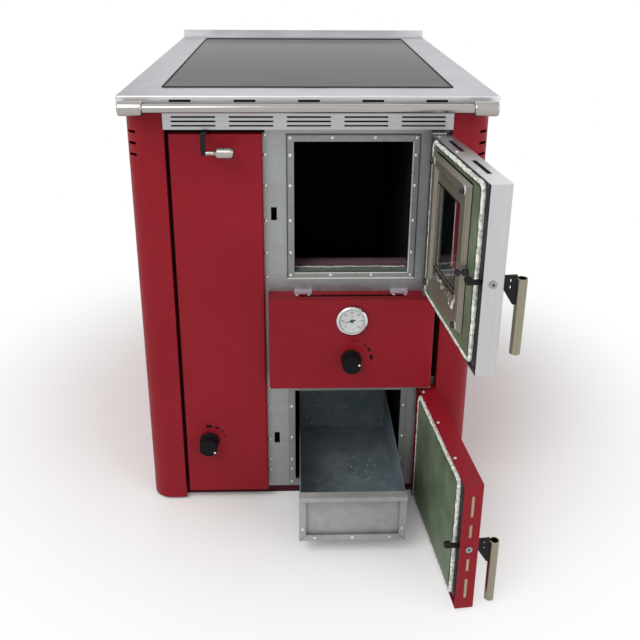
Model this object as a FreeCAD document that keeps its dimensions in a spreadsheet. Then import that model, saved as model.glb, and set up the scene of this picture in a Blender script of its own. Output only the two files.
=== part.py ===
"""Boiler stove: a free-standing wood-burning cooker that heats water.

Millimetres, +Z up, front towards -Y, origin on the floor under the middle of the base. The two doors and the
ash drawer are modelled shut and then set open, which is how the stove stands at rest.
"""

import FreeCAD, Part
import math
import os
import Sketcher

# Driving sizes in millimetres, angles in degrees.
SIZES = {
    # cabinet
    "body_depth": 876,
    "panel_sheet": 1.5,
    "corner_radius": 38,
    "panel_floor_gap": 5,
    "strip_width": 71,
    "strip_proud": 20,
    "louvre_height": 5,
    "louvre_reach": 20,
    "louvre_pitch": 21,
    "louvre_drop": 68,
    "base_height": 16,
    "base_sheet": 2,
    "rear_sheet": 1.2,
    "rear_slot_length": 90,
    "rear_slot_height": 5,
    "rear_slot_pitch": 14,
    # front plate and its openings
    "front_sheet": 2,
    "column_width": 320,
    "column_gap": 15,
    "latch_lap": 50,
    "hinge_lap": 52,
    "ash_sill": 18,
    "ash_opening_height": 218,
    "fire_opening_height": 258,
    "trim_width": 14,
    "trim_sheet": 2,
    "door_rise": 18,
    "ash_door_drop": 26,
    "fire_door_drop": 36,
    "bracket_room": 5,
    "control_gap": 12,
    "control_panel_height": 193,
    "panel_proud": 42,
    "grille_gap": 9,
    "keeper_width": 11,
    "keeper_height": 26,
    "keeper_drop": 1,
    # left front panel
    "left_panel_width": 167,
    "left_panel_gap": 7,
    "left_panel_joint": 7,
    "left_panel_base": 22,
    "left_panel_top_gap": 9,
    "panel_edge_radius": 4,
    # vent grille
    "grille_height": 30,
    "grille_proud": 24,
    "grille_slot_length": 78,
    "grille_slot_height": 3.2,
    "grille_slot_pitch": 102,
    "grille_row_pitch": 7.8,
    # worktop
    "worktop_side_overhang": 6,
    "worktop_front_overhang": 15,
    "worktop_rear_overhang": 9,
    "worktop_sheet": 2,
    "worktop_corner": 5,
    "worktop_fold": 2,
    "fascia_height": 25,
    "fascia_gap": 7,
    "fascia_slot_length": 38,
    "fascia_slot_height": 4.5,
    "fascia_slot_pitch": 112,
    "fascia_slot_drop": 8.5,
    "upstand_height": 18,
    "upstand_depth": 9,
    "hob_side_margin": 68.5,
    "hob_front_margin": 85,
    "hob_rear_margin": 59,
    "hob_thickness": 4,
    "hob_clearance": 1.5,
    "hob_proud": 0.4,
    "hob_ledge": 15,
    "hob_seal_thickness": 1.6,
    # towel rail
    "rail_diameter": 16,
    "rail_stand_off": 25,
    "rail_drop": 17,
    "rail_socket_diameter": 26,
    "rail_socket_length": 42,
    "rail_socket_wall": 5,
    "rail_socket_edge": 3,
    "rail_post_diameter": 10,
    "rail_post_inset": 50,
    "rail_end_inset": 3,
    # boiler
    "jacket_thickness": 40,
    "throat_step": 7,
    "jacket_gap": 4,
    "boiler_rear_gap": 46,
    "exchanger_depth": 254,
    "jacket_head_room": 30,
    "keeper_pocket_depth": 24,
    "keeper_pocket_width": 24,
    "keeper_pocket_height": 60,
    "smoke_box_head_room": 80,
    "grate_thickness": 18,
    "grate_rise": 46,
    "grate_bar": 14,
    "grate_slot": 10,
    "grate_border": 26,
    "ash_floor_thickness": 5,
    "ash_floor_rise": 1,
    # rear connections
    "flue_diameter": 150,
    "flue_wall": 2,
    "flue_length": 60,
    "flue_drop": 190,
    "flue_bead": 5,
    "flue_bead_radius": 8,
    "flue_bead_setback": 45,
    "socket_diameter": 42,
    "socket_bore_diameter": 30.3,
    "socket_length": 16,
    "socket_bore_depth": 40,
    "socket_flow_drop": 100,
    "socket_return_rise": 90,
    "hole_clearance": 2,
    # doors
    "door_sheet": 1.5,
    "door_tray_depth": 34,
    "door_edge_radius": 3,
    "door_rest_angle": 96,
    "hinge_inset": 9,
    "hinge_proud": 20,
    "hinge_pin_diameter": 8,
    "hinge_pin_length": 12,
    "hinge_clearance": 0.3,
    "bracket_thickness": 2.8,
    "bracket_width": 26,
    "bracket_gap": 1.4,
    "pan_side_gap": 22,
    "pan_back_gap": 12,
    "pan_head_gap": 3,
    "pan_foot_gap": 4,
    "plate_thickness": 8,
    "plate_clearance": 2,
    "rope_diameter": 9,
    "rope_inset": 6,
    "rope_corner_radius": 9,
    "window_latch_margin": 57,
    "window_hinge_margin": 23,
    "window_top_margin": 42,
    "window_height": 170,
    "glass_lap": 8,
    "glass_thickness": 4,
    "glass_clearance": 0.5,
    "retainer_sheet": 2.5,
    "retainer_latch_gap": 17,
    "retainer_hinge_gap": 7,
    "retainer_head": 3,
    "retainer_foot": 4,
    "retainer_rise": 9,
    "retainer_rib": 22,
    "retainer_slope": 4,
    "top_slot_width": 8,
    "top_slot_length": 78,
    "top_slot_spacing": 132,
    "edge_slot_width": 5.6,
    "edge_slot_long": 44,
    "edge_slot_short": 28,
    "edge_slot_inner": 36,
    "edge_slot_outer": 88,
    # door latches
    "lever_inset": 12,
    "lever_thickness": 4,
    "lever_slot_width": 8,
    "lever_slot_height": 38,
    "pivot_setback": 18,
    "pivot_diameter": 6,
    "pivot_clearance": 0.25,
    "pivot_head_diameter": 12,
    "pivot_head_height": 2.5,
    "pivot_reach": 18,
    "lever_arm": 8,
    "lever_boss": 18,
    "claw_rise": 10,
    "claw_length": 12,
    "claw_back_gap": 3,
    "claw_heel": 8,
    "claw_tip_radius": 4,
    "bracket_drop": 40,
    "bracket_tip": 4,
    "bracket_slot_reach": 14,
    "bracket_slot_pitch": 11,
    "bracket_slot_width": 3,
    "bracket_slot_length": 6,
    "handle_stand_off": 32,
    "handle_diameter": 17,
    "handle_wall": 1.5,
    "handle_length": 128,
    "handle_rise": 3,
    # ash drawer
    "drawer_side_clearance": 9,
    "drawer_height": 105,
    "drawer_room": 186,
    "drawer_sheet": 1.2,
    "drawer_floor_gap": 0.3,
    "drawer_pulled_out": 197,
    "drawer_front_sheet": 1.5,
    "drawer_front_lap": 2,
    "drawer_lip": 17,
    "drawer_lip_drop": 8,
    "drawer_front_flange": 9,
    "drawer_rim": 13,
    # control panel fittings
    "control_sheet": 1.5,
    "control_recess_length": 200,
    "control_recess_width": 9,
    "tab_width": 34,
    "tab_spacing": 187,
    "tab_reach": 13,
    "tab_rise": 5,
    "tab_sheet": 1.5,
    "gauge_drop": 42,
    "gauge_diameter": 62,
    "gauge_bezel": 5,
    "gauge_bezel_depth": 9,
    "gauge_case_depth": 24,
    "gauge_case_wall": 4,
    "gauge_dial_thickness": 1,
    "gauge_dial_setback": 5,
    "gauge_glass_thickness": 1.5,
    "needle_length": 20,
    "needle_tail": 7,
    "needle_width": 2.4,
    "needle_thickness": 0.6,
    "needle_lift": 0.6,
    "needle_hub_diameter": 5,
    "needle_start_angle": 195,
    "knob_diameter": 40,
    "knob_length": 30,
    "knob_skirt": 6,
    "knob_waist_share": 0.92,
    "knob_edge": 2,
    "knob_gap": 0.8,
    "control_knob_drop": 126,
    "left_knob_rise": 125,
    "left_knob_left": 36,
    "spindle_diameter": 8,
    "spindle_clearance": 0.4,
    "shutter_diameter": 34,
    "shutter_thickness": 3,
    "shutter_gap": 0.5,
    # damper pull
    "damper_inset": 65,
    "damper_bar_width": 9,
    "damper_bar_thickness": 3,
    "damper_bar_proud": 30,
    "damper_bar_inside": 250,
    "damper_drop": 36,
    "damper_clearance": 0.6,
    "damper_grip_diameter": 20,
    "damper_grip_length": 36,
    "damper_neck_diameter": 8,
    "damper_neck_length": 14,
    "damper_grip_taper": 6,
    "damper_plate_width": 90,
    "damper_plate_length": 120,
    # all cuts run past the faces that they open by this much
    "overrun": 5,
}
GRILLE_GROUPS = 5
GRILLE_ROWS = 3
FASCIA_SLOTS = 5
LOUVRES = 3
REAR_SLOTS = 5
GRATE_SLOTS = 9
SHEET = "sizes"


class Size:
    """A length or angle: its value, and the formula that ties it to the sheet."""

    def __init__(self, value, formula):
        self.value = value
        self.formula = formula

    def __add__(self, other):
        other = as_size(other)
        return Size(self.value + other.value, f"({self.formula} + {other.formula})")

    def __sub__(self, other):
        other = as_size(other)
        return Size(self.value - other.value, f"({self.formula} - {other.formula})")

    def __mul__(self, other):
        other = as_size(other)
        return Size(self.value * other.value, f"({self.formula} * {other.formula})")

    def __truediv__(self, other):
        other = as_size(other)
        return Size(self.value / other.value, f"({self.formula} / {other.formula})")

    def __neg__(self):
        return Size(-self.value, f"(0 - {self.formula})")

    def __radd__(self, other):
        return as_size(other) + self

    def __rsub__(self, other):
        return as_size(other) - self

    def __rmul__(self, other):
        return as_size(other) * self


def as_size(number):
    return number if isinstance(number, Size) else Size(number, str(number))


def cosine(angle):
    return Size(math.cos(math.radians(angle.value)), f"cos({angle.formula})")


def sine(angle):
    return Size(math.sin(math.radians(angle.value)), f"sin({angle.formula})")


class Sizes:
    """The sheet's cells, one attribute each."""

    def __init__(self, sheet, table):
        for row, (name, value) in enumerate(table.items(), start=1):
            sheet.set(f"A{row}", name)
            sheet.set(f"B{row}", str(value))
            sheet.setAlias(f"B{row}", name)
            setattr(self, name, Size(value, f"{SHEET}.{name}"))


doc = FreeCAD.newDocument("boiler_stove")
sheet = doc.addObject("Spreadsheet::Sheet", SHEET)
d = Sizes(sheet, SIZES)
doc.recompute()
ORIGIN = FreeCAD.Vector(0, 0, 0)
X_AXIS = FreeCAD.Vector(1, 0, 0)
Y_AXIS = FreeCAD.Vector(0, 1, 0)
Z_AXIS = FreeCAD.Vector(0, 0, 1)
QUARTER = 90
# turns that lay a solid built along Z down along X or Y
ALONG = {
    "x": FreeCAD.Rotation(Y_AXIS, QUARTER),
    "y": FreeCAD.Rotation(X_AXIS, -QUARTER),
    "z": FreeCAD.Rotation(),
}
nodes = []

# Places worked out from the driving sizes, X first.
front_width = d.left_panel_gap + d.left_panel_width + d.left_panel_joint + d.column_width + d.column_gap
strip_inner = front_width / 2
half_width = strip_inner + d.strip_width
column_right = strip_inner - d.column_gap
column_left = column_right - d.column_width
column_middle = (column_left + column_right) / 2
opening_left = column_left + d.latch_lap
opening_right = column_right - d.hinge_lap
left_panel_left = d.left_panel_gap - strip_inner
left_panel_right = left_panel_left + d.left_panel_width
hinge_x = column_right - d.hinge_inset
lever_x = column_left + d.lever_inset
# Y
strip_face = -d.body_depth / 2
rear_face = d.body_depth / 2
plate_face = strip_face + d.strip_proud
plate_back = plate_face + d.front_sheet
trim_face = plate_face - d.trim_sheet
door_face = plate_face - d.panel_proud
door_rim = door_face + d.door_tray_depth
hinge_y = plate_face - d.hinge_proud
pivot_y = door_face + d.pivot_setback
worktop_front = strip_face - d.worktop_front_overhang
worktop_rear = rear_face + d.worktop_rear_overhang
boiler_rear = rear_face - d.boiler_rear_gap
firebox_rear = boiler_rear - d.exchanger_depth
# Z, stacked from the floor
ash_opening_bottom = d.base_height + d.ash_sill
ash_opening_top = ash_opening_bottom + d.ash_opening_height
ash_door_bottom = ash_opening_bottom - d.ash_door_drop
ash_door_top = ash_opening_top + d.door_rise
control_bottom = ash_door_top + d.control_gap
control_top = control_bottom + d.control_panel_height
fire_door_bottom = control_top + d.bracket_room
fire_opening_bottom = fire_door_bottom + d.fire_door_drop
fire_opening_top = fire_opening_bottom + d.fire_opening_height
fire_door_top = fire_opening_top + d.door_rise
grille_bottom = fire_door_top + d.grille_gap
grille_top = grille_bottom + d.grille_height
fascia_bottom = grille_top + d.fascia_gap
worktop_top = fascia_bottom + d.fascia_height
worktop_under = worktop_top - d.worktop_sheet
jacket_top = worktop_top - d.jacket_head_room
grate_top = ash_opening_top + d.grate_rise
ash_floor_top = ash_opening_bottom + d.ash_floor_rise
fire_pivot_z = (fire_door_bottom + fire_door_top) / 2
ash_pivot_z = (ash_door_bottom + ash_door_top) / 2
# fittings
pan_back = plate_face - d.pan_back_gap
window_x = (opening_left + d.window_latch_margin, opening_right - d.window_hinge_margin)
window_top = fire_opening_top - d.window_top_margin
base_reach = half_width - d.corner_radius
smoke_box_left = d.base_sheet - base_reach
smoke_box_right = opening_left - d.throat_step - d.jacket_thickness
smoke_box_top = worktop_top - d.smoke_box_head_room
gauge_case_diameter = d.gauge_diameter - 2 * d.gauge_case_wall
gauge_z = control_top - d.gauge_drop
control_knob_z = control_top - d.control_knob_drop
left_knob_x = (left_panel_left + left_panel_right) / 2 - d.left_knob_left
left_knob_z = d.left_panel_base + d.left_knob_rise
damper_x = left_panel_left + d.damper_inset
damper_z = grille_bottom - d.left_panel_top_gap / 2


def bind(obj, prop, size):
    obj.setExpression(prop, as_size(size).formula)


def place(obj, x, y, z):
    for axis, size in zip("xyz", (x, y, z)):
        bind(obj, f"Placement.Base.{axis}", size)


def box(x, y, z):
    """A block between two places along each axis."""
    obj = doc.addObject("Part::Box", "block")
    for prop, (low, high) in zip(("Length", "Width", "Height"), (x, y, z)):
        bind(obj, prop, high - low)
    place(obj, x[0], y[0], z[0])
    return obj


def sloped(x, y, z, inset):
    """A block whose face at the high Y end is drawn in by inset on all four sides, or spread if it is negative."""
    obj = doc.addObject("Part::Wedge", "sloped")
    ends = {"X": x, "Y": y, "Z": z, "X2": (x[0] + inset, x[1] - inset), "Z2": (z[0] + inset, z[1] - inset)}
    for prop, (low, high) in ends.items():
        bind(obj, f"{prop}min", low)
        bind(obj, f"{prop}max", high)
    return obj


def cylinder(axis, centre, span, diameter):
    """A rod along one axis between the two places of span; centre is its place on the other two axes."""
    obj = doc.addObject("Part::Cylinder", "rod")
    bind(obj, "Radius", diameter / 2)
    bind(obj, "Height", span[1] - span[0])
    obj.Placement = FreeCAD.Placement(ORIGIN, ALONG[axis])
    spot = list(centre)
    spot.insert("xyz".index(axis), span[0])
    place(obj, *spot)
    return obj


def rounded(block, axis, radius, keep=None):
    """A block with its edges along one axis rounded; keep picks edges by their middle point."""
    doc.recompute()
    along = {"x": X_AXIS, "y": Y_AXIS, "z": Z_AXIS}[axis]
    edges = []
    for number, edge in enumerate(block.Shape.Edges, start=1):
        run = edge.lastVertex().Point - edge.firstVertex().Point
        if run.cross(along).Length < Part.Precision.confusion() and (keep is None or keep(edge.CenterOfMass)):
            edges.append((number, radius.value, radius.value))
    obj = doc.addObject("Part::Fillet", "rounded")
    obj.Base = block
    obj.Edges = edges
    return obj


def fuse(*shapes):
    obj = doc.addObject("Part::MultiFuse", "joined")
    obj.Shapes = list(shapes)
    return obj


def cut(base, *tools):
    obj = doc.addObject("Part::Cut", "cut")
    obj.Base = base
    obj.Tool = tools[0] if len(tools) == 1 else fuse(*tools)
    return obj


def group(*shapes):
    """Separate solids that share one node."""
    obj = doc.addObject("Part::Compound", "group")
    obj.Links = list(shapes)
    return obj


def node(label, obj):
    obj.Label = label
    nodes.append(obj)
    return obj


def door_node(label, obj):
    """A door's piece, modelled shut, turned about the hinge to the angle at which the door stands open."""
    obj = group(obj)
    angle = d.door_rest_angle
    obj.Placement = FreeCAD.Placement(ORIGIN, FreeCAD.Rotation(Z_AXIS, angle.value))
    bind(obj, "Placement.Rotation.Angle", angle)
    turned, crossed = 1 - cosine(angle), sine(angle)
    bind(obj, "Placement.Base.x", hinge_x * turned + hinge_y * crossed)
    bind(obj, "Placement.Base.y", hinge_y * turned - hinge_x * crossed)
    return node(label, obj)


def outline(body, role, points):
    """A closed sketch through points of two sizes.

    A third size on a point makes the run after it an arc of that radius, turning left, or right if negative.
    """
    sketch = body.newObject("Sketcher::SketchObject", "outline")
    plane = [f for f in body.Origin.OriginFeatures if f.Role == role][0]
    sketch.AttachmentSupport = [(plane, "")]
    sketch.MapMode = "FlatFace"
    spots = [FreeCAD.Vector(p[0].value, p[1].value, 0) for p in points]
    ends = []
    for i, point in enumerate(points):
        start, stop = spots[i], spots[(i + 1) % len(points)]
        if len(point) == 2:
            sketch.addGeometry(Part.LineSegment(start, stop))
            ends.append((1, 2))
            continue
        radius = abs(point[2].value)
        chord = stop - start
        rise = radius - math.sqrt(max(radius**2 - (chord.Length / 2) ** 2, 0))
        side = FreeCAD.Vector(chord.y, -chord.x, 0).normalize() * math.copysign(rise, point[2].value)
        middle = (start + stop) / 2 + side
        left_turn = point[2].value > 0
        arc = Part.Arc(start, middle, stop) if left_turn else Part.Arc(stop, middle, start)
        number = sketch.addGeometry(arc)
        ends.append((1, 2) if left_turn else (2, 1))
        row = sketch.addConstraint(Sketcher.Constraint("Radius", number, radius))
        bind(sketch, f"Constraints[{row}]", point[2] if left_turn else -point[2])
    for i in range(len(points)):
        after = (i + 1) % len(points)
        sketch.addConstraint(Sketcher.Constraint("Coincident", i, ends[i][1], after, ends[after][0]))
    for i, point in enumerate(points):
        for kind, size in zip(("DistanceX", "DistanceY"), point):
            row = sketch.addConstraint(Sketcher.Constraint(kind, -1, 1, i, ends[i][0], size.value))
            bind(sketch, f"Constraints[{row}]", size)
    return sketch


def padded(role, points, length):
    """A body padded from an outline on one of its origin planes, towards the plane's normal."""
    body = doc.addObject("PartDesign::Body", "body")
    pad = body.newObject("PartDesign::Pad", "pad")
    pad.Profile = outline(body, role, points)
    bind(pad, "Length", length)
    body.Tip = pad
    return body


def turned(points):
    """A body of revolution about Z from an outline of radii and heights."""
    body = doc.addObject("PartDesign::Body", "body")
    sketch = outline(body, "XZ_Plane", points)
    spin = body.newObject("PartDesign::Revolution", "turned")
    spin.Profile = sketch
    spin.ReferenceAxis = (sketch, ["V_Axis"])
    spin.Angle = 4 * QUARTER
    body.Tip = spin
    return body


def laid(body, axis, x, y, z, back=False):
    """A turned body laid along an axis, or against it, with its foot at a place."""
    turn = ALONG[axis]
    if back:
        turn = turn.multiply(FreeCAD.Rotation(X_AXIS, 2 * QUARTER))
    body.Placement = FreeCAD.Placement(ORIGIN, turn)
    place(body, x, y, z)
    return body


def around(size, reach):
    return (size - reach / 2, size + reach / 2)


def spread(count, pitch):
    """Places of a row of equal pitch about zero."""
    return [pitch * (i - (count - 1) / 2) for i in range(count)]


def tray(x, y, z, sheet_size, radius):
    """A folded tray: its face at the low Y end, open at the high Y end, front upright edges rounded."""

    def at_front(point):
        return point.y < (y[0].value + y[1].value) / 2

    outer = rounded(box(x, y, z), "z", radius, at_front)
    inside = box(
        (x[0] + sheet_size, x[1] - sheet_size),
        (y[0] + sheet_size, y[1] + d.overrun),
        (z[0] + sheet_size, z[1] - sheet_size),
    )
    return cut(outer, rounded(inside, "z", radius - sheet_size, lambda p: p.y < y[1].value - radius.value))


def frame(x, y, z, width):
    """A flat frame round an opening: x and z are the opening."""
    outer = box((x[0] - width, x[1] + width), y, (z[0] - width, z[1] + width))
    return cut(outer, box(x, (y[0] - d.overrun, y[1] + d.overrun), z))


# Cabinet
def side_panel(label, side):
    """A side sheet that rolls round the front corner into a front strip and folds back to the front plate."""
    radius, thick = d.corner_radius, d.panel_sheet
    inner_radius = radius - thick
    edge = strip_inner
    outline_points = [
        (half_width, rear_face),
        (half_width, strip_face + radius, -radius),
        (half_width - radius, strip_face),
        (edge, strip_face),
        (edge, plate_face),
        (edge + thick, plate_face),
        (edge + thick, strip_face + thick),
        (half_width - radius, strip_face + thick, inner_radius),
        (half_width - thick, strip_face + radius),
        (half_width - thick, rear_face),
    ]
    if side < 0:
        outline_points = [(-p[0], p[1]) + tuple(-r for r in p[2:]) for p in outline_points]
    body = padded("XY_Plane", outline_points, worktop_under - d.panel_floor_gap)
    place(body, as_size(0), as_size(0), d.panel_floor_gap)
    louvres = []
    for i in range(LOUVRES):
        z = around(worktop_top - d.louvre_drop - d.louvre_pitch * i, d.louvre_height)
        x = (half_width - d.louvre_reach, half_width + d.overrun)
        if side < 0:
            x = (-x[1], -x[0])
        louvres.append(box(x, (strip_face - d.overrun, strip_face + d.louvre_reach), z))
    node(label, cut(body, *louvres))


def base_tray():
    reach, thick = base_reach, d.base_sheet
    y = (plate_face, rear_face - d.rear_sheet)
    outer = box((-reach, reach), y, (as_size(0), d.base_height))
    inside = box((thick - reach, reach - thick), (y[0] + thick, y[1] - thick), (thick, d.base_height + d.overrun))
    node("base_tray", cut(outer, inside))


def rear_holes():
    """Places and hole diameters of the flue and the two water sockets, seen from the front."""
    middle = (opening_left + opening_right) / 2
    return {
        "flue": ((smoke_box_left + smoke_box_right) / 2, worktop_top - d.flue_drop, d.flue_diameter),
        "flow": (middle, worktop_top - d.socket_flow_drop, d.socket_diameter),
        "return": (middle, d.socket_return_rise, d.socket_diameter),
    }


def rear_panel():
    reach = half_width - d.panel_sheet
    y = (rear_face - d.rear_sheet, rear_face)
    sheet_box = box((-reach, reach), y, (d.panel_floor_gap, worktop_under))
    past = (y[0] - d.overrun, y[1] + d.overrun)
    cuts = []
    for x, z, diameter in rear_holes().values():
        cuts.append(cylinder("y", (x, z), past, diameter + 2 * d.hole_clearance))
    middle = (d.base_height + worktop_under) / 2
    for row in spread(REAR_SLOTS, d.rear_slot_pitch):
        for column in (-half_width / 2, half_width / 2):
            slot = box(around(column, d.rear_slot_length), past, around(middle + row, d.rear_slot_height))
            cuts.append(slot)
    node("rear_panel", cut(sheet_box, *cuts))


def front_plate():
    y = (plate_face, plate_back)
    past = (y[0] - d.overrun, y[1] + d.overrun)
    reach = strip_inner + d.column_gap
    sheet_box = box((-reach, reach), y, (d.base_height, worktop_under))
    openings = [
        box((opening_left, opening_right), past, (ash_opening_bottom, ash_opening_top)),
        box((opening_left, opening_right), past, (fire_opening_bottom, fire_opening_top)),
    ]
    for z in (ash_pivot_z, fire_pivot_z):
        openings.append(box(around(lever_x, d.keeper_width), past, around(z - d.keeper_drop, d.keeper_height)))
    room = 2 * d.damper_clearance
    openings.append(
        box(around(damper_x, d.damper_bar_width + room), past, around(damper_z, d.damper_bar_thickness + room))
    )
    node("front_plate", cut(sheet_box, *openings))


def trims():
    x, y = (opening_left, opening_right), (trim_face, plate_face)
    node("firebox_trim", frame(x, y, (fire_opening_bottom, fire_opening_top), d.trim_width))
    node("ash_trim", frame(x, y, (ash_opening_bottom, ash_opening_top), d.trim_width))


def left_front_panel():
    z = (d.left_panel_base, grille_bottom - d.left_panel_top_gap)
    x, y = (left_panel_left, left_panel_right), (strip_face, plate_face)
    hole = cylinder(
        "y",
        (left_knob_x, left_knob_z),
        (strip_face - d.overrun, strip_face + d.overrun),
        d.spindle_diameter + 2 * d.spindle_clearance,
    )
    node("left_front_panel", cut(tray(x, y, z, d.panel_sheet, d.panel_edge_radius), hole))


def vent_grille():
    """A shallow pressed strip between the side panels, with groups of three air slots."""
    face = plate_face - d.grille_proud
    thick = d.panel_sheet
    outer = box((-strip_inner, strip_inner), (face, plate_face), (grille_bottom, grille_top))
    inside = box(
        (-strip_inner - d.overrun, strip_inner + d.overrun),
        (face + thick, plate_face + d.overrun),
        (grille_bottom + thick, grille_top - thick),
    )
    slots = []
    middle = (grille_bottom + grille_top) / 2
    for column in spread(GRILLE_GROUPS, d.grille_slot_pitch):
        for row in spread(GRILLE_ROWS, d.grille_row_pitch):
            z = around(middle + row, d.grille_slot_height)
            slots.append(box(around(column, d.grille_slot_length), (face - d.overrun, face + d.overrun), z))
    node("vent_grille", cut(outer, inside, *slots))


# Worktop and rail
def worktop():
    """The pressed top: a skirt all round, and a sunk ledge that carries the glass hob."""
    reach, thick = half_width + d.worktop_side_overhang, d.worktop_sheet
    y = (worktop_front, worktop_rear)
    block = rounded(box((-reach, reach), y, (fascia_bottom, worktop_top)), "z", d.worktop_corner)
    shell = rounded(block, "x", d.worktop_fold, lambda p: p.z > worktop_under.value)
    under = box(
        (thick - reach, reach - thick),
        (y[0] + thick, y[1] - thick),
        (fascia_bottom - d.overrun, worktop_under),
    )
    glass_x = (d.hob_side_margin - reach, reach - d.hob_side_margin)
    glass_y = (worktop_front + d.hob_front_margin, worktop_rear - d.hob_rear_margin)
    glass_top = worktop_top + d.hob_proud
    glass_bottom = glass_top - d.hob_thickness
    seat = glass_bottom - d.hob_seal_thickness
    room, ledge = d.hob_clearance, d.hob_ledge

    def field(grow, low, high):
        x_span = (glass_x[0] - grow, glass_x[1] + grow)
        return box(x_span, (glass_y[0] - grow, glass_y[1] + grow), (low, high))

    pressed = fuse(cut(shell, under), field(room + thick, seat - thick, worktop_under))
    slots = []
    for column in spread(FASCIA_SLOTS, d.fascia_slot_pitch):
        slot_y = (worktop_front - d.overrun, worktop_front + d.overrun)
        slot_z = around(worktop_top - d.fascia_slot_drop, d.fascia_slot_height)
        slots.append(box(around(column, d.fascia_slot_length), slot_y, slot_z))
    sunk = field(room, seat, worktop_top + d.overrun)
    through = field(-ledge, seat - thick - d.overrun, worktop_top)
    node("worktop_frame", cut(pressed, sunk, through, *slots))
    seal = cut(field(as_size(0), seat, glass_bottom), field(-ledge, seat - d.overrun, glass_bottom + d.overrun))
    node("hob_seal", seal)
    node("hob_glass", rounded(field(as_size(0), glass_bottom, glass_top), "z", d.worktop_corner))
    upstand_y = (worktop_rear - d.upstand_depth, worktop_rear)
    upstand = box((-reach, reach), upstand_y, (worktop_top, worktop_top + d.upstand_height))
    hollow = box(
        (-reach - d.overrun, reach + d.overrun),
        (upstand_y[0] + thick, upstand_y[1] + d.overrun),
        (worktop_top - d.overrun, worktop_top + d.upstand_height - thick),
    )
    node("rear_upstand", cut(upstand, hollow))


def towel_rail():
    y, z = worktop_front - d.rail_stand_off, worktop_top - d.rail_drop
    end = half_width - d.rail_end_inset
    wall, edge = d.rail_socket_wall, d.rail_socket_edge
    node("rail_tube", cylinder("x", (y, z), (wall - end, end - wall), d.rail_diameter))
    bore, outer, length = d.rail_diameter / 2, d.rail_socket_diameter / 2, d.rail_socket_length
    profile = [
        (as_size(0), as_size(0)),
        (outer - edge, as_size(0), edge),
        (outer, edge),
        (outer, length - edge, edge),
        (outer - edge, length),
        (bore, length),
        (bore, wall),
        (as_size(0), wall),
    ]
    sockets = group(
        laid(turned(profile), "x", -end, y, z),
        laid(turned(profile), "x", end, y, z, back=True),
    )
    node("rail_sockets", sockets)
    reach = end - d.rail_post_inset + d.rail_end_inset
    posts = []
    for side in (-1, 1):
        post = cylinder("y", (side * reach, z), (y, worktop_front), d.rail_post_diameter)
        posts.append(cut(post, cylinder("x", (y, z), (-end, end), d.rail_diameter)))
    node("rail_posts", group(*posts))


# Boiler
def boiler():
    thick, step = d.jacket_thickness, d.throat_step
    inner_left, inner_right = opening_left - step, opening_right + step
    y = (plate_back, boiler_rear)
    z = (d.base_sheet, jacket_top)
    pockets = []
    for pivot_z in (ash_pivot_z, fire_pivot_z):
        pocket_y = (plate_back - d.overrun, plate_back + d.keeper_pocket_depth)
        pocket_x = around(lever_x, d.keeper_pocket_width)
        pockets.append(box(pocket_x, pocket_y, around(pivot_z, d.keeper_pocket_height)))
    left = cut(box((inner_left - thick, inner_left), y, z), *pockets)
    node("boiler_left_jacket", left)
    node("boiler_right_jacket", box((inner_right, inner_right + thick), y, z))
    between = (inner_left, inner_right)
    node("boiler_rear_exchanger", box(between, (firebox_rear, boiler_rear), z))
    front_z = (ash_opening_top + d.jacket_gap, fire_opening_bottom - d.jacket_gap)
    front_y = (plate_back, plate_back + thick)
    node("boiler_front_jacket", box(between, front_y, front_z))
    node("fire_sill", box(between, front_y, (front_z[1], fire_opening_bottom)))
    node("smoke_box", box((smoke_box_left, smoke_box_right), y, (d.base_sheet, smoke_box_top)))
    floor_y = (plate_back, firebox_rear)
    node("ash_floor", box(between, floor_y, (ash_floor_top - d.ash_floor_thickness, ash_floor_top)))
    fire_grate(between, (plate_back + thick, firebox_rear))


def fire_grate(x, y):
    """A cast grate: long bars with slots between them, inside a plain border."""
    z = (grate_top - d.grate_thickness, grate_top)
    middle = (x[0] + x[1]) / 2
    border = d.grate_border
    slots = []
    for column in spread(GRATE_SLOTS, d.grate_bar + d.grate_slot):
        slot_y = (y[0] + border, y[1] - border)
        slot_z = (z[0] - d.overrun, z[1] + d.overrun)
        slots.append(box(around(middle + column, d.grate_slot), slot_y, slot_z))
    node("fire_grate", cut(box(x, y, z), *slots))


def rear_connections():
    """The flue spigot with its bead, and the threaded flow and return sockets."""
    holes = rear_holes()
    x, z, diameter = holes["flue"]
    outer, wall = diameter / 2, d.flue_wall
    length = rear_face - boiler_rear + d.flue_length
    bead = length - d.flue_bead_setback
    zero = as_size(0)
    profile = [
        (outer - wall, zero),
        (outer, zero),
        (outer, bead - d.flue_bead, d.flue_bead_radius),
        (outer, bead + d.flue_bead),
        (outer, length),
        (outer - wall, length),
    ]
    node("flue_spigot", laid(turned(profile), "y", x, boiler_rear, z))
    sockets = []
    for name in ("flow", "return"):
        x, z, diameter = holes[name]
        end = rear_face + d.socket_length
        body = cylinder("y", (x, z), (boiler_rear, end), diameter)
        bore = cylinder("y", (x, z), (end - d.socket_bore_depth, end + d.overrun), d.socket_bore_diameter)
        sockets.append(cut(body, bore))
    node("water_sockets", group(*sockets))


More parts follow.
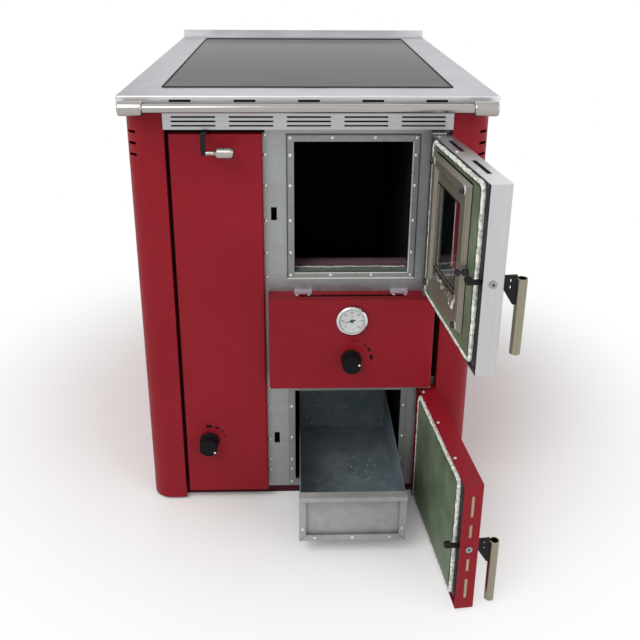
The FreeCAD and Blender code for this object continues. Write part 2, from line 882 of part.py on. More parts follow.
# Control panel
def control_panel():
    x, y, z = (column_left, column_right), (door_face, plate_face), (control_bottom, control_top)
    past = (door_face - d.overrun, door_face + d.overrun)
    gauge_hole = cylinder("y", (column_middle, gauge_z), past, gauge_case_diameter + 2 * d.spindle_clearance)
    spindle_hole = cylinder(
        "y", (column_middle, control_knob_z), past, d.spindle_diameter + 2 * d.spindle_clearance
    )
    recess_y = around((door_face + plate_face) / 2, d.control_recess_width)
    recess = box(
        around(column_middle, d.control_recess_length), recess_y, (z[1] - d.overrun, z[1] + d.overrun)
    )
    shell = tray(x, y, z, d.control_sheet, d.panel_edge_radius)
    node("control_panel", cut(shell, gauge_hole, spindle_hole, recess))
    tabs = []
    for side in (-1, 1):
        tab_x = around(column_middle + side * d.tab_spacing / 2, d.tab_width)
        thick = d.tab_sheet
        lying = box(tab_x, (plate_face - d.tab_reach, plate_face), (z[1], z[1] + thick))
        standing = box(tab_x, (plate_face - thick, plate_face), (z[1], z[1] + d.tab_rise))
        tabs.append(fuse(lying, standing))
    node("control_panel_tabs", group(*tabs))


def thermometer():
    """Case with its rolled bezel, dial, glass and needle."""
    outer, bezel, wall = d.gauge_diameter / 2, d.gauge_bezel, d.gauge_case_wall
    zero = as_size(0)
    case_radius = gauge_case_diameter / 2
    dial_seat = -d.gauge_bezel_depth + d.gauge_dial_setback
    bore = outer - bezel
    # the profile's height runs from the panel's face into the panel
    profile = [
        (zero, d.gauge_case_depth),
        (case_radius, d.gauge_case_depth),
        (case_radius, zero),
        (outer, zero),
        (outer, bezel - d.gauge_bezel_depth, -bezel),
        (outer - bezel, -d.gauge_bezel_depth),
        (bore, dial_seat + d.gauge_dial_thickness),
        (zero, dial_seat + d.gauge_dial_thickness),
    ]
    node("gauge_case", laid(turned(profile), "y", column_middle, door_face, gauge_z))
    dial_y = (door_face + dial_seat, door_face + dial_seat + d.gauge_dial_thickness)
    node("gauge_dial", cylinder("y", (column_middle, gauge_z), dial_y, 2 * bore))
    glass_front = door_face - d.gauge_bezel_depth
    glass_y = (glass_front, glass_front + d.gauge_glass_thickness)
    node("gauge_glass", cylinder("y", (column_middle, gauge_z), glass_y, 2 * bore))
    needle(dial_y[0] - d.needle_lift)


def needle(back):
    """A thin pointer with a short tail and a round hub."""
    half = d.needle_width / 2
    zero = as_size(0)
    points = [
        (d.needle_length, zero),
        (-d.needle_tail, half),
        (-d.needle_tail, -half),
    ]
    blade = padded("XY_Plane", points, d.needle_thickness)
    hub = cylinder("z", (zero, zero), (zero, d.needle_thickness), d.needle_hub_diameter)
    pointer = fuse(blade, hub)
    # the pointer's own Z faces the viewer, and its angle runs anticlockwise from three o'clock
    facing = FreeCAD.Rotation(X_AXIS, QUARTER)
    pointer.Placement = FreeCAD.Placement(
        ORIGIN, facing.multiply(FreeCAD.Rotation(Z_AXIS, d.needle_start_angle.value))
    )
    place(pointer, column_middle, back, gauge_z)
    node("gauge_needle", pointer)


def knob(label, shutter_label, x, z, face):
    """A turned knob with a skirt, and the spindle with the air shutter that it turns."""
    outer = d.knob_diameter / 2
    waist = outer * d.knob_waist_share
    edge, zero = d.knob_edge, as_size(0)
    profile = [
        (zero, zero),
        (outer - edge, zero, edge),
        (outer, edge),
        (outer, d.knob_skirt),
        (waist, d.knob_skirt + edge),
        (waist, d.knob_length - edge, edge),
        (waist - edge, d.knob_length),
        (zero, d.knob_length),
    ]
    back = face - d.knob_gap
    node(label, laid(turned(profile), "y", x, back, z, back=True))
    shutter_front = plate_face - d.shutter_gap - d.shutter_thickness
    depth = shutter_front - back
    spindle = d.spindle_diameter / 2
    disc = [
        (zero, zero),
        (spindle, zero),
        (spindle, depth),
        (d.shutter_diameter / 2, depth),
        (d.shutter_diameter / 2, depth + d.shutter_thickness),
        (zero, depth + d.shutter_thickness),
    ]
    node(shutter_label, laid(turned(disc), "y", x, back, z))


def damper_pull():
    """A flat bar that slides in over the smoke box, bent down outside, with a turned grip to the right."""
    wide, thick = d.damper_bar_width, d.damper_bar_thickness
    front = strip_face - d.damper_bar_proud
    inside = plate_back + d.damper_bar_inside
    bar_z = around(damper_z, thick)
    level = box(around(damper_x, wide), (front, inside), bar_z)
    upright = box(around(damper_x, wide), (front, front + thick), (damper_z - d.damper_drop, bar_z[1]))
    node("damper_bar", fuse(level, upright))
    neck, grip = d.damper_neck_diameter / 2, d.damper_grip_diameter / 2
    taper, length = d.damper_grip_taper, d.damper_grip_length
    start, zero = d.damper_neck_length, as_size(0)
    profile = [
        (zero, zero),
        (neck, zero),
        (neck, start),
        (grip, start + taper),
        (grip, start + length - taper, taper),
        (grip - taper, start + length),
        (zero, start + length),
    ]
    spot_y, spot_z = front + thick / 2, damper_z - d.damper_drop + neck
    node("damper_grip", laid(turned(profile), "x", damper_x + wide / 2, spot_y, spot_z))
    plate_y = (inside - d.damper_plate_length, inside)
    plate_z = (smoke_box_top + d.drawer_floor_gap, bar_z[0])
    node("damper_plate", box(around(damper_x, d.damper_plate_width), plate_y, plate_z))


# Ash drawer
def ash_drawer():
    """An open sheet box with a front plate that has a turned-over lip and folded edges."""
    x = (opening_left + d.drawer_side_clearance, opening_right - d.drawer_side_clearance)
    bottom = ash_floor_top + d.drawer_floor_gap
    z = (bottom, bottom + d.drawer_height)
    front = plate_face - d.drawer_pulled_out + d.drawer_lip
    y = (front, front + firebox_rear - plate_back - d.drawer_room)
    thick, lap = d.drawer_sheet, d.drawer_front_lap
    inside = box(
        (x[0] + thick, x[1] - thick), (y[0] + thick, y[1] - thick), (z[0] + thick, z[1] + d.overrun)
    )
    node("drawer_box", cut(box(x, y, z), inside))
    sheet_size, lip, flange = d.drawer_front_sheet, d.drawer_lip, d.drawer_front_flange
    face_x = (x[0] - lap, x[1] + lap)
    block = box(face_x, (front - lip, front), (z[0], z[1] + sheet_size))
    under_lip = box(
        (face_x[0] - d.overrun, face_x[1] + d.overrun),
        (front - lip - d.overrun, front - flange),
        (z[0] - d.overrun, z[1] - d.drawer_lip_drop),
    )
    behind_lip = box(
        (face_x[0] - d.overrun, face_x[1] + d.overrun),
        (front - lip + sheet_size, front - flange),
        (z[0] - d.overrun, z[1]),
    )
    fold = box(
        (face_x[0] + sheet_size, face_x[1] - sheet_size),
        (front - flange + sheet_size, front - sheet_size),
        (z[0] + sheet_size, z[1]),
    )
    rim = d.drawer_rim
    dish = box(
        (face_x[0] + rim, face_x[1] - rim),
        (front - flange - d.overrun, front - sheet_size),
        (z[0] + rim, z[1]),
    )
    node("drawer_front", cut(block, under_lip, behind_lip, fold, dish))


# Doors
def hinge_brackets(label, bottom, top):
    """Two lugs on the front of the stove, each with the pin that the door turns on."""
    thick, gap = d.bracket_thickness, d.bracket_gap
    x = around(hinge_x, d.bracket_width)
    y = (hinge_y - d.hinge_pin_diameter, plate_face)
    pin = d.hinge_pin_diameter
    lugs = []
    for z, pin_z in (
        ((top + gap, top + gap + thick), (top - d.hinge_pin_length, top + gap)),
        ((bottom - gap - thick, bottom - gap), (bottom - gap, bottom + d.hinge_pin_length)),
    ):
        lug = rounded(box(x, y, z), "z", pin / 2, lambda p: p.y < plate_face.value - pin.value)
        lugs.append(fuse(lug, cylinder("z", (hinge_x, hinge_y), pin_z, pin)))
    node(label, group(*lugs))


def door_tray(bottom, top, pivot_z, cuts):
    """The outer tray with its hinge holes, the slot for the latch lever and the pivot hole."""
    x, z = (column_left, column_right), (bottom, top)
    shell = tray(x, (door_face, door_rim), z, d.door_sheet, d.door_edge_radius)
    past = (bottom - d.overrun, top + d.overrun)
    pin_hole = cylinder("z", (hinge_x, hinge_y), past, d.hinge_pin_diameter + 2 * d.hinge_clearance)
    front = (door_face - d.overrun, door_face + d.overrun)
    slot = box(around(lever_x, d.lever_slot_width), front, around(pivot_z, d.lever_slot_height))
    screw_hole = cylinder(
        "x",
        (pivot_y, pivot_z),
        (column_left - d.overrun, column_left + d.overrun),
        d.pivot_diameter,
    )
    return cut(shell, pin_hole, slot, screw_hole, *cuts)


def rope(x, z, y):
    """A rope seal laid in a rounded rectangle: straight runs joined by quarter rings."""
    thick, radius = d.rope_diameter, d.rope_corner_radius
    runs = [
        cylinder("x", (y, z[0]), (x[0] + radius, x[1] - radius), thick),
        cylinder("x", (y, z[1]), (x[0] + radius, x[1] - radius), thick),
        cylinder("z", (x[0], y), (z[0] + radius, z[1] - radius), thick),
        cylinder("z", (x[1], y), (z[0] + radius, z[1] - radius), thick),
    ]
    corners = (
        (x[1] - radius, z[1] - radius, 0),
        (x[0] + radius, z[1] - radius, 1),
        (x[0] + radius, z[0] + radius, 2),
        (x[1] - radius, z[0] + radius, 3),
    )
    for corner_x, corner_z, quarter in corners:
        ring = doc.addObject("Part::Torus", "ring")
        bind(ring, "Radius1", radius)
        bind(ring, "Radius2", thick / 2)
        ring.Angle3 = QUARTER
        upright = FreeCAD.Rotation(X_AXIS, QUARTER)
        ring.Placement = FreeCAD.Placement(
            ORIGIN, upright.multiply(FreeCAD.Rotation(Z_AXIS, quarter * QUARTER))
        )
        place(ring, corner_x, y, corner_z)
        runs.append(ring)
    return fuse(*runs)


def door_lining(prefix, door_z, window_z=None):
    """The pan behind the tray, the lining plate on its back and the rope seal round the plate."""
    sheet_size, lap = d.door_sheet, d.glass_lap
    x = (column_left + d.pan_side_gap, column_right - d.pan_side_gap)
    z = (door_z[0] + d.pan_foot_gap, door_z[1] - d.pan_head_gap)
    past = (door_face, plate_face)
    hollow = box(
        (x[0] + sheet_size, x[1] - sheet_size),
        (door_face, pan_back - sheet_size),
        (z[0] + sheet_size, z[1] - sheet_size),
    )
    pan = cut(box(x, (door_face + sheet_size, pan_back), z), hollow)
    inset = d.rope_inset
    within = inset + d.rope_diameter / 2 + d.plate_clearance
    plate_y = (pan_back, pan_back + d.plate_thickness)
    plate = box((x[0] + within, x[1] - within), plate_y, (z[0] + within, z[1] - within))
    if window_z is not None:
        sight_z = (window_z[0] + lap, window_z[1] - lap)
        pan = cut(pan, box((window_x[0] + lap, window_x[1] - lap), past, sight_z))
        plate = cut(plate, box(window_x, past, window_z))
    door_node(f"{prefix}_inner_tray", pan)
    door_node(f"{prefix}_plate", plate)
    rope_x, rope_z = (x[0] + inset, x[1] - inset), (z[0] + inset, z[1] - inset)
    door_node(f"{prefix}_gasket", rope(rope_x, rope_z, pan_back + d.rope_diameter / 2))


def fire_door():
    """The glazed upper door."""
    window_z = (window_top - d.window_height, window_top)
    past = (door_face - d.overrun, door_face + d.overrun)
    cuts = [box(window_x, past, window_z)]
    for side in (-1, 1):
        slot_x = around(column_middle + side * d.top_slot_spacing / 2, d.top_slot_length)
        slot_y = around((door_face + door_rim) / 2, d.top_slot_width)
        cuts.append(box(slot_x, slot_y, (fire_door_top - d.overrun, fire_door_top + d.overrun)))
    door_node("fire_door_tray", door_tray(fire_door_bottom, fire_door_top, fire_pivot_z, cuts))
    door_lining("fire_door", (fire_door_bottom, fire_door_top), window_z)
    lining_back = pan_back + d.plate_thickness
    room, lap = d.glass_clearance, d.glass_lap
    glass = box(
        (window_x[0] + room, window_x[1] - room),
        (lining_back - d.glass_thickness, lining_back),
        (window_z[0] + room, window_z[1] - room),
    )
    door_node("fire_door_glass", glass)
    retainer_x = (opening_left + d.retainer_latch_gap, opening_right - d.retainer_hinge_gap)
    retainer_z = (fire_opening_bottom + d.retainer_foot, fire_opening_top - d.retainer_head)
    sight = box(
        (window_x[0] + lap, window_x[1] - lap),
        (lining_back - d.overrun, lining_back + d.overrun),
        (window_z[0] + lap, window_z[1] - lap),
    )
    door_node("fire_door_glass_frame", cut(glass_retainer(retainer_x, lining_back, retainer_z), sight))


def glass_retainer(x, back, z):
    """The pressed sheet that holds the glass: a rib with sloping sides all round, sunk to plain sheet inside it."""
    rib, slope, low, rise = d.retainer_rib, d.retainer_slope, d.retainer_sheet, d.retainer_rise
    block = sloped(x, (back, back + rise), z, slope)
    past = rise + d.overrun
    spread_out = slope * (past - low) / (rise - low)
    sunk_x, sunk_z = (x[0] + rib, x[1] - rib), (z[0] + rib, z[1] - rib)
    return cut(block, sloped(sunk_x, (back + low, back + past), sunk_z, -spread_out))


def ash_door():
    """The plain lower door, with air slots in its free edge."""
    cuts = []
    for offset, length in ((d.edge_slot_inner, d.edge_slot_short), (d.edge_slot_outer, d.edge_slot_long)):
        for side in (-1, 1):
            slot_x = (column_left - d.overrun, column_left + d.overrun)
            slot_y = around((door_face + door_rim) / 2, d.edge_slot_width)
            cuts.append(box(slot_x, slot_y, around(ash_pivot_z + side * offset, length)))
    door_node("ash_door_tray", door_tray(ash_door_bottom, ash_door_top, ash_pivot_z, cuts))
    door_lining("ash_door", (ash_door_bottom, ash_door_top))


def latch(prefix, pivot_z):
    """The pivot screw in the door's free edge, the claw lever that rocks on it and its hanging tube handle."""
    shank = cylinder(
        "x", (pivot_y, pivot_z), (column_left, column_left + d.pivot_reach), d.pivot_diameter
    )
    head = cylinder(
        "x", (pivot_y, pivot_z), (column_left - d.pivot_head_height, column_left), d.pivot_head_diameter
    )
    door_node(f"{prefix}_pivot_screw", fuse(shank, head))
    arm, boss, zero = d.lever_arm / 2, d.lever_boss / 2, as_size(0)
    claw_start = plate_back + d.claw_back_gap - pivot_y
    claw_end = claw_start + d.claw_length
    tube_y = door_face - d.handle_stand_off
    tube_run = tube_y - pivot_y
    near_tube = tube_run + d.handle_diameter / 2
    heel, tip = d.claw_heel, d.claw_tip_radius
    # Y and Z of the lever from its pivot: round hook, boss, then the bracket that runs out to the tube
    points = [
        (claw_end - heel, -arm, heel),
        (claw_end, heel - arm),
        (claw_end, d.claw_rise - tip, tip),
        (claw_end - tip, d.claw_rise),
        (claw_start + tip, d.claw_rise, tip),
        (claw_start, d.claw_rise - tip),
        (claw_start, arm),
        (boss, arm),
        (zero, boss),
        (tube_run, boss),
        (tube_run, -d.bracket_drop),
        (near_tube + d.bracket_tip, -d.bracket_drop),
        (door_face - pivot_y, -boss),
        (zero, -boss),
        (boss, -arm),
    ]
    lever = padded("YZ_Plane", points, d.lever_thickness)
    place(lever, lever_x - d.lever_thickness / 2, pivot_y, pivot_z)
    tube_z = (pivot_z + d.handle_rise - d.handle_length, pivot_z + d.handle_rise)
    past = (tube_z[0] - d.overrun, pivot_z + d.lever_boss)
    clear = cylinder("z", (lever_x, tube_y), past, d.handle_diameter)
    eye = cylinder(
        "x",
        (pivot_y, pivot_z),
        (lever_x - d.lever_thickness, lever_x + d.lever_thickness),
        d.pivot_diameter + 2 * d.pivot_clearance,
    )
    slots = []
    for step in (0, 1):
        slot_z = around(pivot_z - step * d.bracket_slot_pitch, d.bracket_slot_length)
        slot_x = (lever_x - d.lever_thickness, lever_x + d.lever_thickness)
        slots.append(box(slot_x, around(door_face - d.bracket_slot_reach, d.bracket_slot_width), slot_z))
    door_node(f"{prefix}_lever", cut(lever, clear, eye, *slots))
    tube = cylinder("z", (lever_x, tube_y), tube_z, d.handle_diameter)
    bore_z = (tube_z[0] - d.overrun, tube_z[1] + d.overrun)
    bore = cylinder("z", (lever_x, tube_y), bore_z, d.handle_diameter - 2 * d.handle_wall)
    door_node(f"{prefix}_handle", cut(tube, bore))


for panel, panel_side in (("left_side_panel", -1), ("right_side_panel", 1)):
    side_panel(panel, panel_side)
base_tray()
rear_panel()
front_plate()
trims()
left_front_panel()
vent_grille()
worktop()
towel_rail()
boiler()
rear_connections()
control_panel()
thermometer()
knob("control_knob", "control_shutter", column_middle, control_knob_z, door_face)
knob("left_knob", "left_shutter", left_knob_x, left_knob_z, strip_face)
damper_pull()
ash_drawer()
hinge_brackets("fire_hinge_brackets", fire_door_bottom, fire_door_top)
hinge_brackets("ash_hinge_brackets", ash_door_bottom, ash_door_top)
fire_door()
ash_door()
latch("fire", fire_pivot_z)
latch("ash", ash_pivot_z)

doc.recompute()
for obj in doc.Objects:
    if "Invalid" in obj.State or "Error" in obj.State:
        raise RuntimeError(f"{obj.Label} ({obj.Name}) did not recompute: {obj.State}")
for obj in nodes:
    if obj.Shape.isNull() or not obj.Shape.isValid():
        raise RuntimeError(f"{obj.Label} has no valid shape")
os.makedirs("parts", exist_ok=True)
for obj in nodes:
    obj.Shape.exportStep(os.path.join("parts", f"{obj.Label}.step"))
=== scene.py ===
"""Boiler stove: finishes, small fixings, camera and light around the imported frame.

Sizes are in mm until a mesh is made.
"""

import math

import bmesh
import bpy
import numpy as np
from mathutils import Matrix, Vector


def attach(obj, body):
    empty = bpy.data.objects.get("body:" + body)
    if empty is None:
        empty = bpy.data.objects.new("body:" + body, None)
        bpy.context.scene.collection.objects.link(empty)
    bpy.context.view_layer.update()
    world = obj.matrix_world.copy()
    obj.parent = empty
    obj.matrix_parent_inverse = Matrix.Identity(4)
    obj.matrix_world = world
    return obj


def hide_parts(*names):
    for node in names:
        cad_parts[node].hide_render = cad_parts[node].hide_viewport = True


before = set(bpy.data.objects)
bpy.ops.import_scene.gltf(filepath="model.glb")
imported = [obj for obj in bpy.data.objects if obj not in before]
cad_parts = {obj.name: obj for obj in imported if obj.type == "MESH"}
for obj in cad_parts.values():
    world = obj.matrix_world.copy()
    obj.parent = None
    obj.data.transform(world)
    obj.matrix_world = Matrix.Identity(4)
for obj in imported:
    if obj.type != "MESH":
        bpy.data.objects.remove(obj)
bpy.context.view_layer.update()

MM = 0.001
FULL_TURN = 2 * math.pi

# Ways out of the faces, which flat bars also run along; on a door, those of the shut door
FRONT = (0, -1, 0)
REAR = (0, 1, 0)
LEFT = (-1, 0, 0)
RIGHT = (1, 0, 0)
UP = (0, 0, 1)

# Places shared with the frame, in mm; door places are those of the shut door
HINGE = (234.0, -438.0)
DOOR_REST = math.radians(96)
PLATE_FACE = -418.0
TRIM_FACE = -420.0
PANEL_FACE = -438.0
CONTROL_FACE = -460.0
FLANGE_TOP = 475.0
DRAWER_RIM = -607.0
REAR_FACE = 438.0
SIDE_FACE = 329.0
FASCIA_BACK = -451.0
WORKTOP = 863.0
SILL_TOP = 516.0
FIRE_DOOR_TOP = 792.0
PAN_TOP = 789.0
ASH_DOOR_TOP = 270.0
LINING_FACE = -422.0
RETAINER_SHEET = -419.5
RETAINER_RIB = -413.0
LATCH_EDGE = -77.0
TRAY_MIDDLE = -443.0
DOOR_SCREW_Y = -432.0
PIVOT_Y = -442.0
PIVOT_HEAD = 2.5
FIRE_PIVOT_Z = 636.0
ASH_PIVOT_Z = 139.0
COLUMN_MIDDLE = 83.0
CONTROL_KNOB = (COLUMN_MIDDLE, 349.0)
CONTROL_KNOB_FACE = -490.8
LEFT_KNOB = (-203.5, 147.0)
LEFT_KNOB_FACE = -468.8
GAUGE = (COLUMN_MIDDLE, 433.0)
DIAL_FACE = -464.0
NEEDLE_FACE = -465.2


# Materials


def linear(code):
    """Linear colour of an sRGB hex code: c / 12.92 near black, else ((c + 0.055) / 1.055) to the power 2.4."""
    shares = [int(code[i:i + 2], 16) / 255 for i in (1, 3, 5)]
    return (*(c / 12.92 if c <= 0.04045 else ((c + 0.055) / 1.055) ** 2.4 for c in shares), 1.0)


def add(tree, kind, sockets=None, stops=(), **settings):
    """Adds one node: settings go on the node, sockets hold values or feeding outputs, stops are a ramp's colours."""
    node = tree.nodes.new("ShaderNode" + kind)
    for name, value in settings.items():
        setattr(node, name, value)
    for name, value in (sockets or {}).items():
        if isinstance(value, bpy.types.NodeSocket):
            tree.links.new(value, node.inputs[name])
        else:
            node.inputs[name].default_value = value
    for index, (place, code) in enumerate(stops):
        elements = node.color_ramp.elements
        element = elements[index] if index < len(elements) else elements.new(place)
        element.position = place
        element.color = linear(code)
    return node


def per_metre(size):
    """Pattern scale for features of a size in mm, on Object coordinates in metres."""
    return 1.0 / (size * MM)


def begin(name):
    """An empty node material and the Object coordinates that its patterns read."""
    material = bpy.data.materials.new(name)
    material.use_nodes = True
    tree = material.node_tree
    tree.nodes.clear()
    return material, tree, add(tree, "TexCoord").outputs["Object"]


def close(tree, sockets):
    """The surface shader and the output that end a material."""
    shader = add(tree, "BsdfPrincipled", sockets)
    add(tree, "OutputMaterial", {"Surface": shader.outputs["BSDF"]})


def enamel(name, stops, roughness):
    """Powder enamel, sprayed and baked on sheet steel: an even colour with slight clouds, a faint orange peel,
    drawn coarser than the real one so that it shows, and a satin sheen that dust dulls in patches."""
    material, tree, place = begin(name)
    cloud = add(tree, "TexNoise", {"Vector": place, "Scale": per_metre(160), "Detail": 3.0})
    colour = add(tree, "ValToRGB", {"Fac": cloud.outputs["Fac"]}, stops)
    dust = add(tree, "TexNoise", {"Vector": place, "Scale": per_metre(45), "Detail": 5.0})
    rough = add(tree, "MapRange", {
        "Value": dust.outputs["Fac"], "From Min": 0.3, "From Max": 0.7,
        "To Min": roughness - 0.05, "To Max": roughness + 0.07,
    })
    skin = add(tree, "TexNoise", {"Vector": place, "Scale": per_metre(2.4), "Detail": 2.0})
    bump = add(tree, "Bump", {"Height": skin.outputs["Fac"], "Strength": 0.06, "Distance": 0.4 * MM})
    close(tree, {
        "Base Color": colour.outputs["Color"], "Roughness": rough.outputs["Result"],
        "Normal": bump.outputs["Normal"], "Specular IOR Level": 0.16,
    })
    return material


def brushed(name, dark, pale, grain, roughness, edge_tint, metallic=1.0):
    """Brushed steel, ground by a belt: fine lines along the longest size of grain, and hand marks that change the
    gloss. edge_tint is the colour at a flat view, which the ground surface holds darker than a mirror."""
    material, tree, place = begin(name)
    turned = add(tree, "Mapping", {"Vector": place, "Scale": tuple(per_metre(size) for size in grain)})
    lines = add(tree, "TexNoise", {"Vector": turned.outputs["Vector"], "Scale": 1.0, "Detail": 4.0})
    marks = add(tree, "TexNoise", {"Vector": place, "Scale": per_metre(70), "Detail": 4.0})
    colour = add(tree, "ValToRGB", {"Fac": lines.outputs["Fac"]}, [(0.3, dark), (0.7, pale)])
    gloss = add(tree, "Math", {0: lines.outputs["Fac"], 1: marks.outputs["Fac"]}, operation="MULTIPLY")
    rough = add(tree, "MapRange", {
        "Value": gloss.outputs["Value"], "From Min": 0.12, "From Max": 0.42,
        "To Min": roughness - 0.04, "To Max": roughness + 0.05,
    })
    bump = add(tree, "Bump", {"Height": lines.outputs["Fac"], "Strength": 0.1, "Distance": 0.2 * MM})
    close(tree, {
        "Base Color": colour.outputs["Color"], "Metallic": metallic, "Roughness": rough.outputs["Result"],
        "Normal": bump.outputs["Normal"], "Specular Tint": linear(edge_tint),
    })
    return material


def zinc(name, stops, spangle, roughness, metallic=0.85, dust=None):
    """Hot-dipped zinc sheet: flat crystal spangles of slightly different grey, with a dull, scuffed gloss.
    dust is the colour of the ash that lies on it in drifts of small crumbs."""
    material, tree, place = begin(name)
    wander = add(tree, "TexNoise", {"Vector": place, "Scale": per_metre(spangle * 1.5), "Detail": 2.0})
    warped = add(tree, "VectorMath", {
        0: wander.outputs["Color"], 1: (spangle * MM,) * 3, 2: place,
    }, operation="MULTIPLY_ADD")
    cells = add(tree, "TexVoronoi", {"Vector": warped.outputs["Vector"], "Scale": per_metre(spangle)})
    cell = add(tree, "SeparateColor", {"Color": cells.outputs["Color"]})
    cloud = add(tree, "TexNoise", {"Vector": place, "Scale": per_metre(90), "Detail": 5.0})
    tone = add(tree, "MapRange", {"Value": cell.outputs["Red"], "To Min": -0.12, "To Max": 0.12})
    total = add(tree, "Math", {0: cloud.outputs["Fac"], 1: tone.outputs["Result"]}, operation="ADD")
    colour = add(tree, "ValToRGB", {"Fac": total.outputs["Value"]}, stops).outputs["Color"]
    rough = add(tree, "MapRange", {
        "Value": total.outputs["Value"], "From Min": 0.3, "From Max": 0.7,
        "To Min": roughness - 0.08, "To Max": roughness + 0.08,
    })
    if dust:
        drift = add(tree, "TexNoise", {"Vector": place, "Scale": per_metre(70), "Detail": 3.0})
        crumbs = add(tree, "TexVoronoi", {"Vector": place, "Scale": per_metre(6)})
        speck = add(tree, "MapRange", {
            "Value": crumbs.outputs["Distance"], "From Min": 0.12, "From Max": 0.34, "To Min": 1.0, "To Max": 0.0,
        })
        draw = add(tree, "SeparateColor", {"Color": crumbs.outputs["Color"]})
        odds = add(tree, "Math", {0: draw.outputs["Red"], 1: drift.outputs["Fac"]}, operation="MULTIPLY")
        lies = add(tree, "MapRange", {"Value": odds.outputs["Value"], "From Min": 0.46, "From Max": 0.56})
        share = add(tree, "Math", {0: speck.outputs["Result"], 1: lies.outputs["Result"]}, operation="MULTIPLY")
        mixed = add(tree, "Mix", {0: share.outputs["Value"], 6: colour, 7: linear(dust)}, data_type="RGBA")
        colour = mixed.outputs[2]
    close(tree, {"Base Color": colour, "Metallic": metallic, "Roughness": rough.outputs["Result"]})
    return material


def matt(name, stops, grain, roughness, relief=0.25, metallic=0.0, gloss=0.3, mottle=60.0):
    """Dull paint, casting skin, glass fibre or grained plastic: colour mottled in patches of a size, and a fine rough
    relief of a grain size, drawn coarse enough to show."""
    material, tree, place = begin(name)
    cloud = add(tree, "TexNoise", {"Vector": place, "Scale": per_metre(mottle), "Detail": 6.0, "Roughness": 0.6})
    colour = add(tree, "ValToRGB", {"Fac": cloud.outputs["Fac"]}, stops)
    grit = add(tree, "TexNoise", {"Vector": place, "Scale": per_metre(grain), "Detail": 3.0})
    rough = add(tree, "MapRange", {
        "Value": cloud.outputs["Fac"], "From Min": 0.3, "From Max": 0.7,
        "To Min": roughness - 0.08, "To Max": roughness + 0.08,
    })
    bump = add(tree, "Bump", {"Height": grit.outputs["Fac"], "Strength": relief, "Distance": 0.4 * MM})
    close(tree, {
        "Base Color": colour.outputs["Color"], "Roughness": rough.outputs["Result"],
        "Normal": bump.outputs["Normal"], "Metallic": metallic, "Specular IOR Level": gloss,
    })
    return material


def hob_ceramic():
    """Black glass ceramic, rolled and polished: a dark body whose gloss is broken only by faint wiping marks."""
    material, tree, place = begin("hob_ceramic")
    wiped = add(tree, "Mapping", {"Vector": place, "Scale": (per_metre(240), per_metre(60), 1.0)})
    marks = add(tree, "TexNoise", {"Vector": wiped.outputs["Vector"], "Scale": 1.0, "Detail": 5.0})
    colour = add(tree, "ValToRGB", {"Fac": marks.outputs["Fac"]}, [(0.3, "#0A0A0A"), (0.75, "#151413")])
    rough = add(tree, "MapRange", {
        "Value": marks.outputs["Fac"], "From Min": 0.35, "From Max": 0.7, "To Min": 0.07, "To Max": 0.14,
    })
    close(tree, {
        "Base Color": colour.outputs["Color"], "Roughness": rough.outputs["Result"], "Specular IOR Level": 0.02,
        "Specular Tint": linear("#FFFAE6"),
    })
    return material


SCORCH_START, SCORCH_END = -409.0, -387.0


def sill_paint():
    """Heat-proof paint on the sill: green in front, and scorched to a mauve brown behind a wandering edge."""
    material, tree, place = begin("sill_paint")
    edge = add(tree, "TexNoise", {"Vector": place, "Scale": per_metre(25), "Detail": 4.0})
    axes = add(tree, "SeparateXYZ", {"Vector": place})
    depth = add(tree, "MapRange", {
        "Value": axes.outputs["Y"], "From Min": SCORCH_START * MM, "From Max": SCORCH_END * MM,
    })
    front = add(tree, "Math", {0: edge.outputs["Fac"], 1: 0.4, 2: depth.outputs["Result"]}, operation="MULTIPLY_ADD")
    colour = add(
        tree, "ValToRGB", {"Fac": front.outputs["Value"]},
        [(0.2, "#66716A"), (0.62, "#707A72"), (0.72, "#74595F"), (0.95, "#6B4F56")],
    )
    bump = add(tree, "Bump", {"Height": edge.outputs["Fac"], "Strength": 0.3, "Distance": 0.6 * MM})
    close(tree, {
        "Base Color": colour.outputs["Color"], "Roughness": 0.62, "Normal": bump.outputs["Normal"],
        "Specular IOR Level": 0.25,
    })
    return material


def clear_glass(name, tint):
    """Plain drawn window glass: clear, with a faint haze in patches."""
    material, tree, place = begin(name)
    haze = add(tree, "TexNoise", {"Vector": place, "Scale": per_metre(50), "Detail": 4.0})
    rough = add(tree, "MapRange", {
        "Value": haze.outputs["Fac"], "From Min": 0.4, "From Max": 0.7, "To Min": 0.0, "To Max": 0.06,
    })
    close(tree, {
        "Base Color": linear(tint), "Roughness": rough.outputs["Result"], "IOR": 1.47,
        "Transmission Weight": 1.0,
    })
    return material


# Powder enamel, sprayed and baked: an even satin red; the base tray is drawn a darker and duller red
ENAMEL = enamel("red_powder_enamel", [(0.3, "#82121E"), (0.7, "#891624")], 0.46)
DARK_RED = enamel("dark_red_base", [(0.3, "#3A0D14"), (0.7, "#48121B")], 0.6)
# Stainless sheet and tube, ground by a belt: highlights drawn out along the grain
STEEL_TOP = brushed("brushed_stainless", "#D2D1D4", "#DDDCDF", (300, 1.6, 1.6), 0.32, "#B4B4B6")
STEEL_VENT = brushed("vent_stainless", "#ADACAE", "#BAB9BB", (300, 1.6, 1.6), 0.34, "#CFCED0")
STEEL_RAIL = brushed("rail_stainless", "#A3A09C", "#B2AFAB", (160, 1.2, 1.2), 0.2, "#D8D8D8")
STEEL_DOOR = brushed("satin_door_steel", "#C0BFC1", "#C6C5C7", (1.8, 1.8, 220), 0.38, "#F0F0F0")
# Nickel plate on turned or drawn steel: warmer, with rings or lines of the tool
STEEL_GRIP = brushed("turned_grip_nickel", "#98928C", "#B8B2AC", (1.2, 60, 60), 0.3, "#E0E0E0")
STEEL_TUBE = brushed("nickel_tube", "#8D8675", "#9F9786", (1.4, 1.4, 120), 0.27, "#F0F0F0")
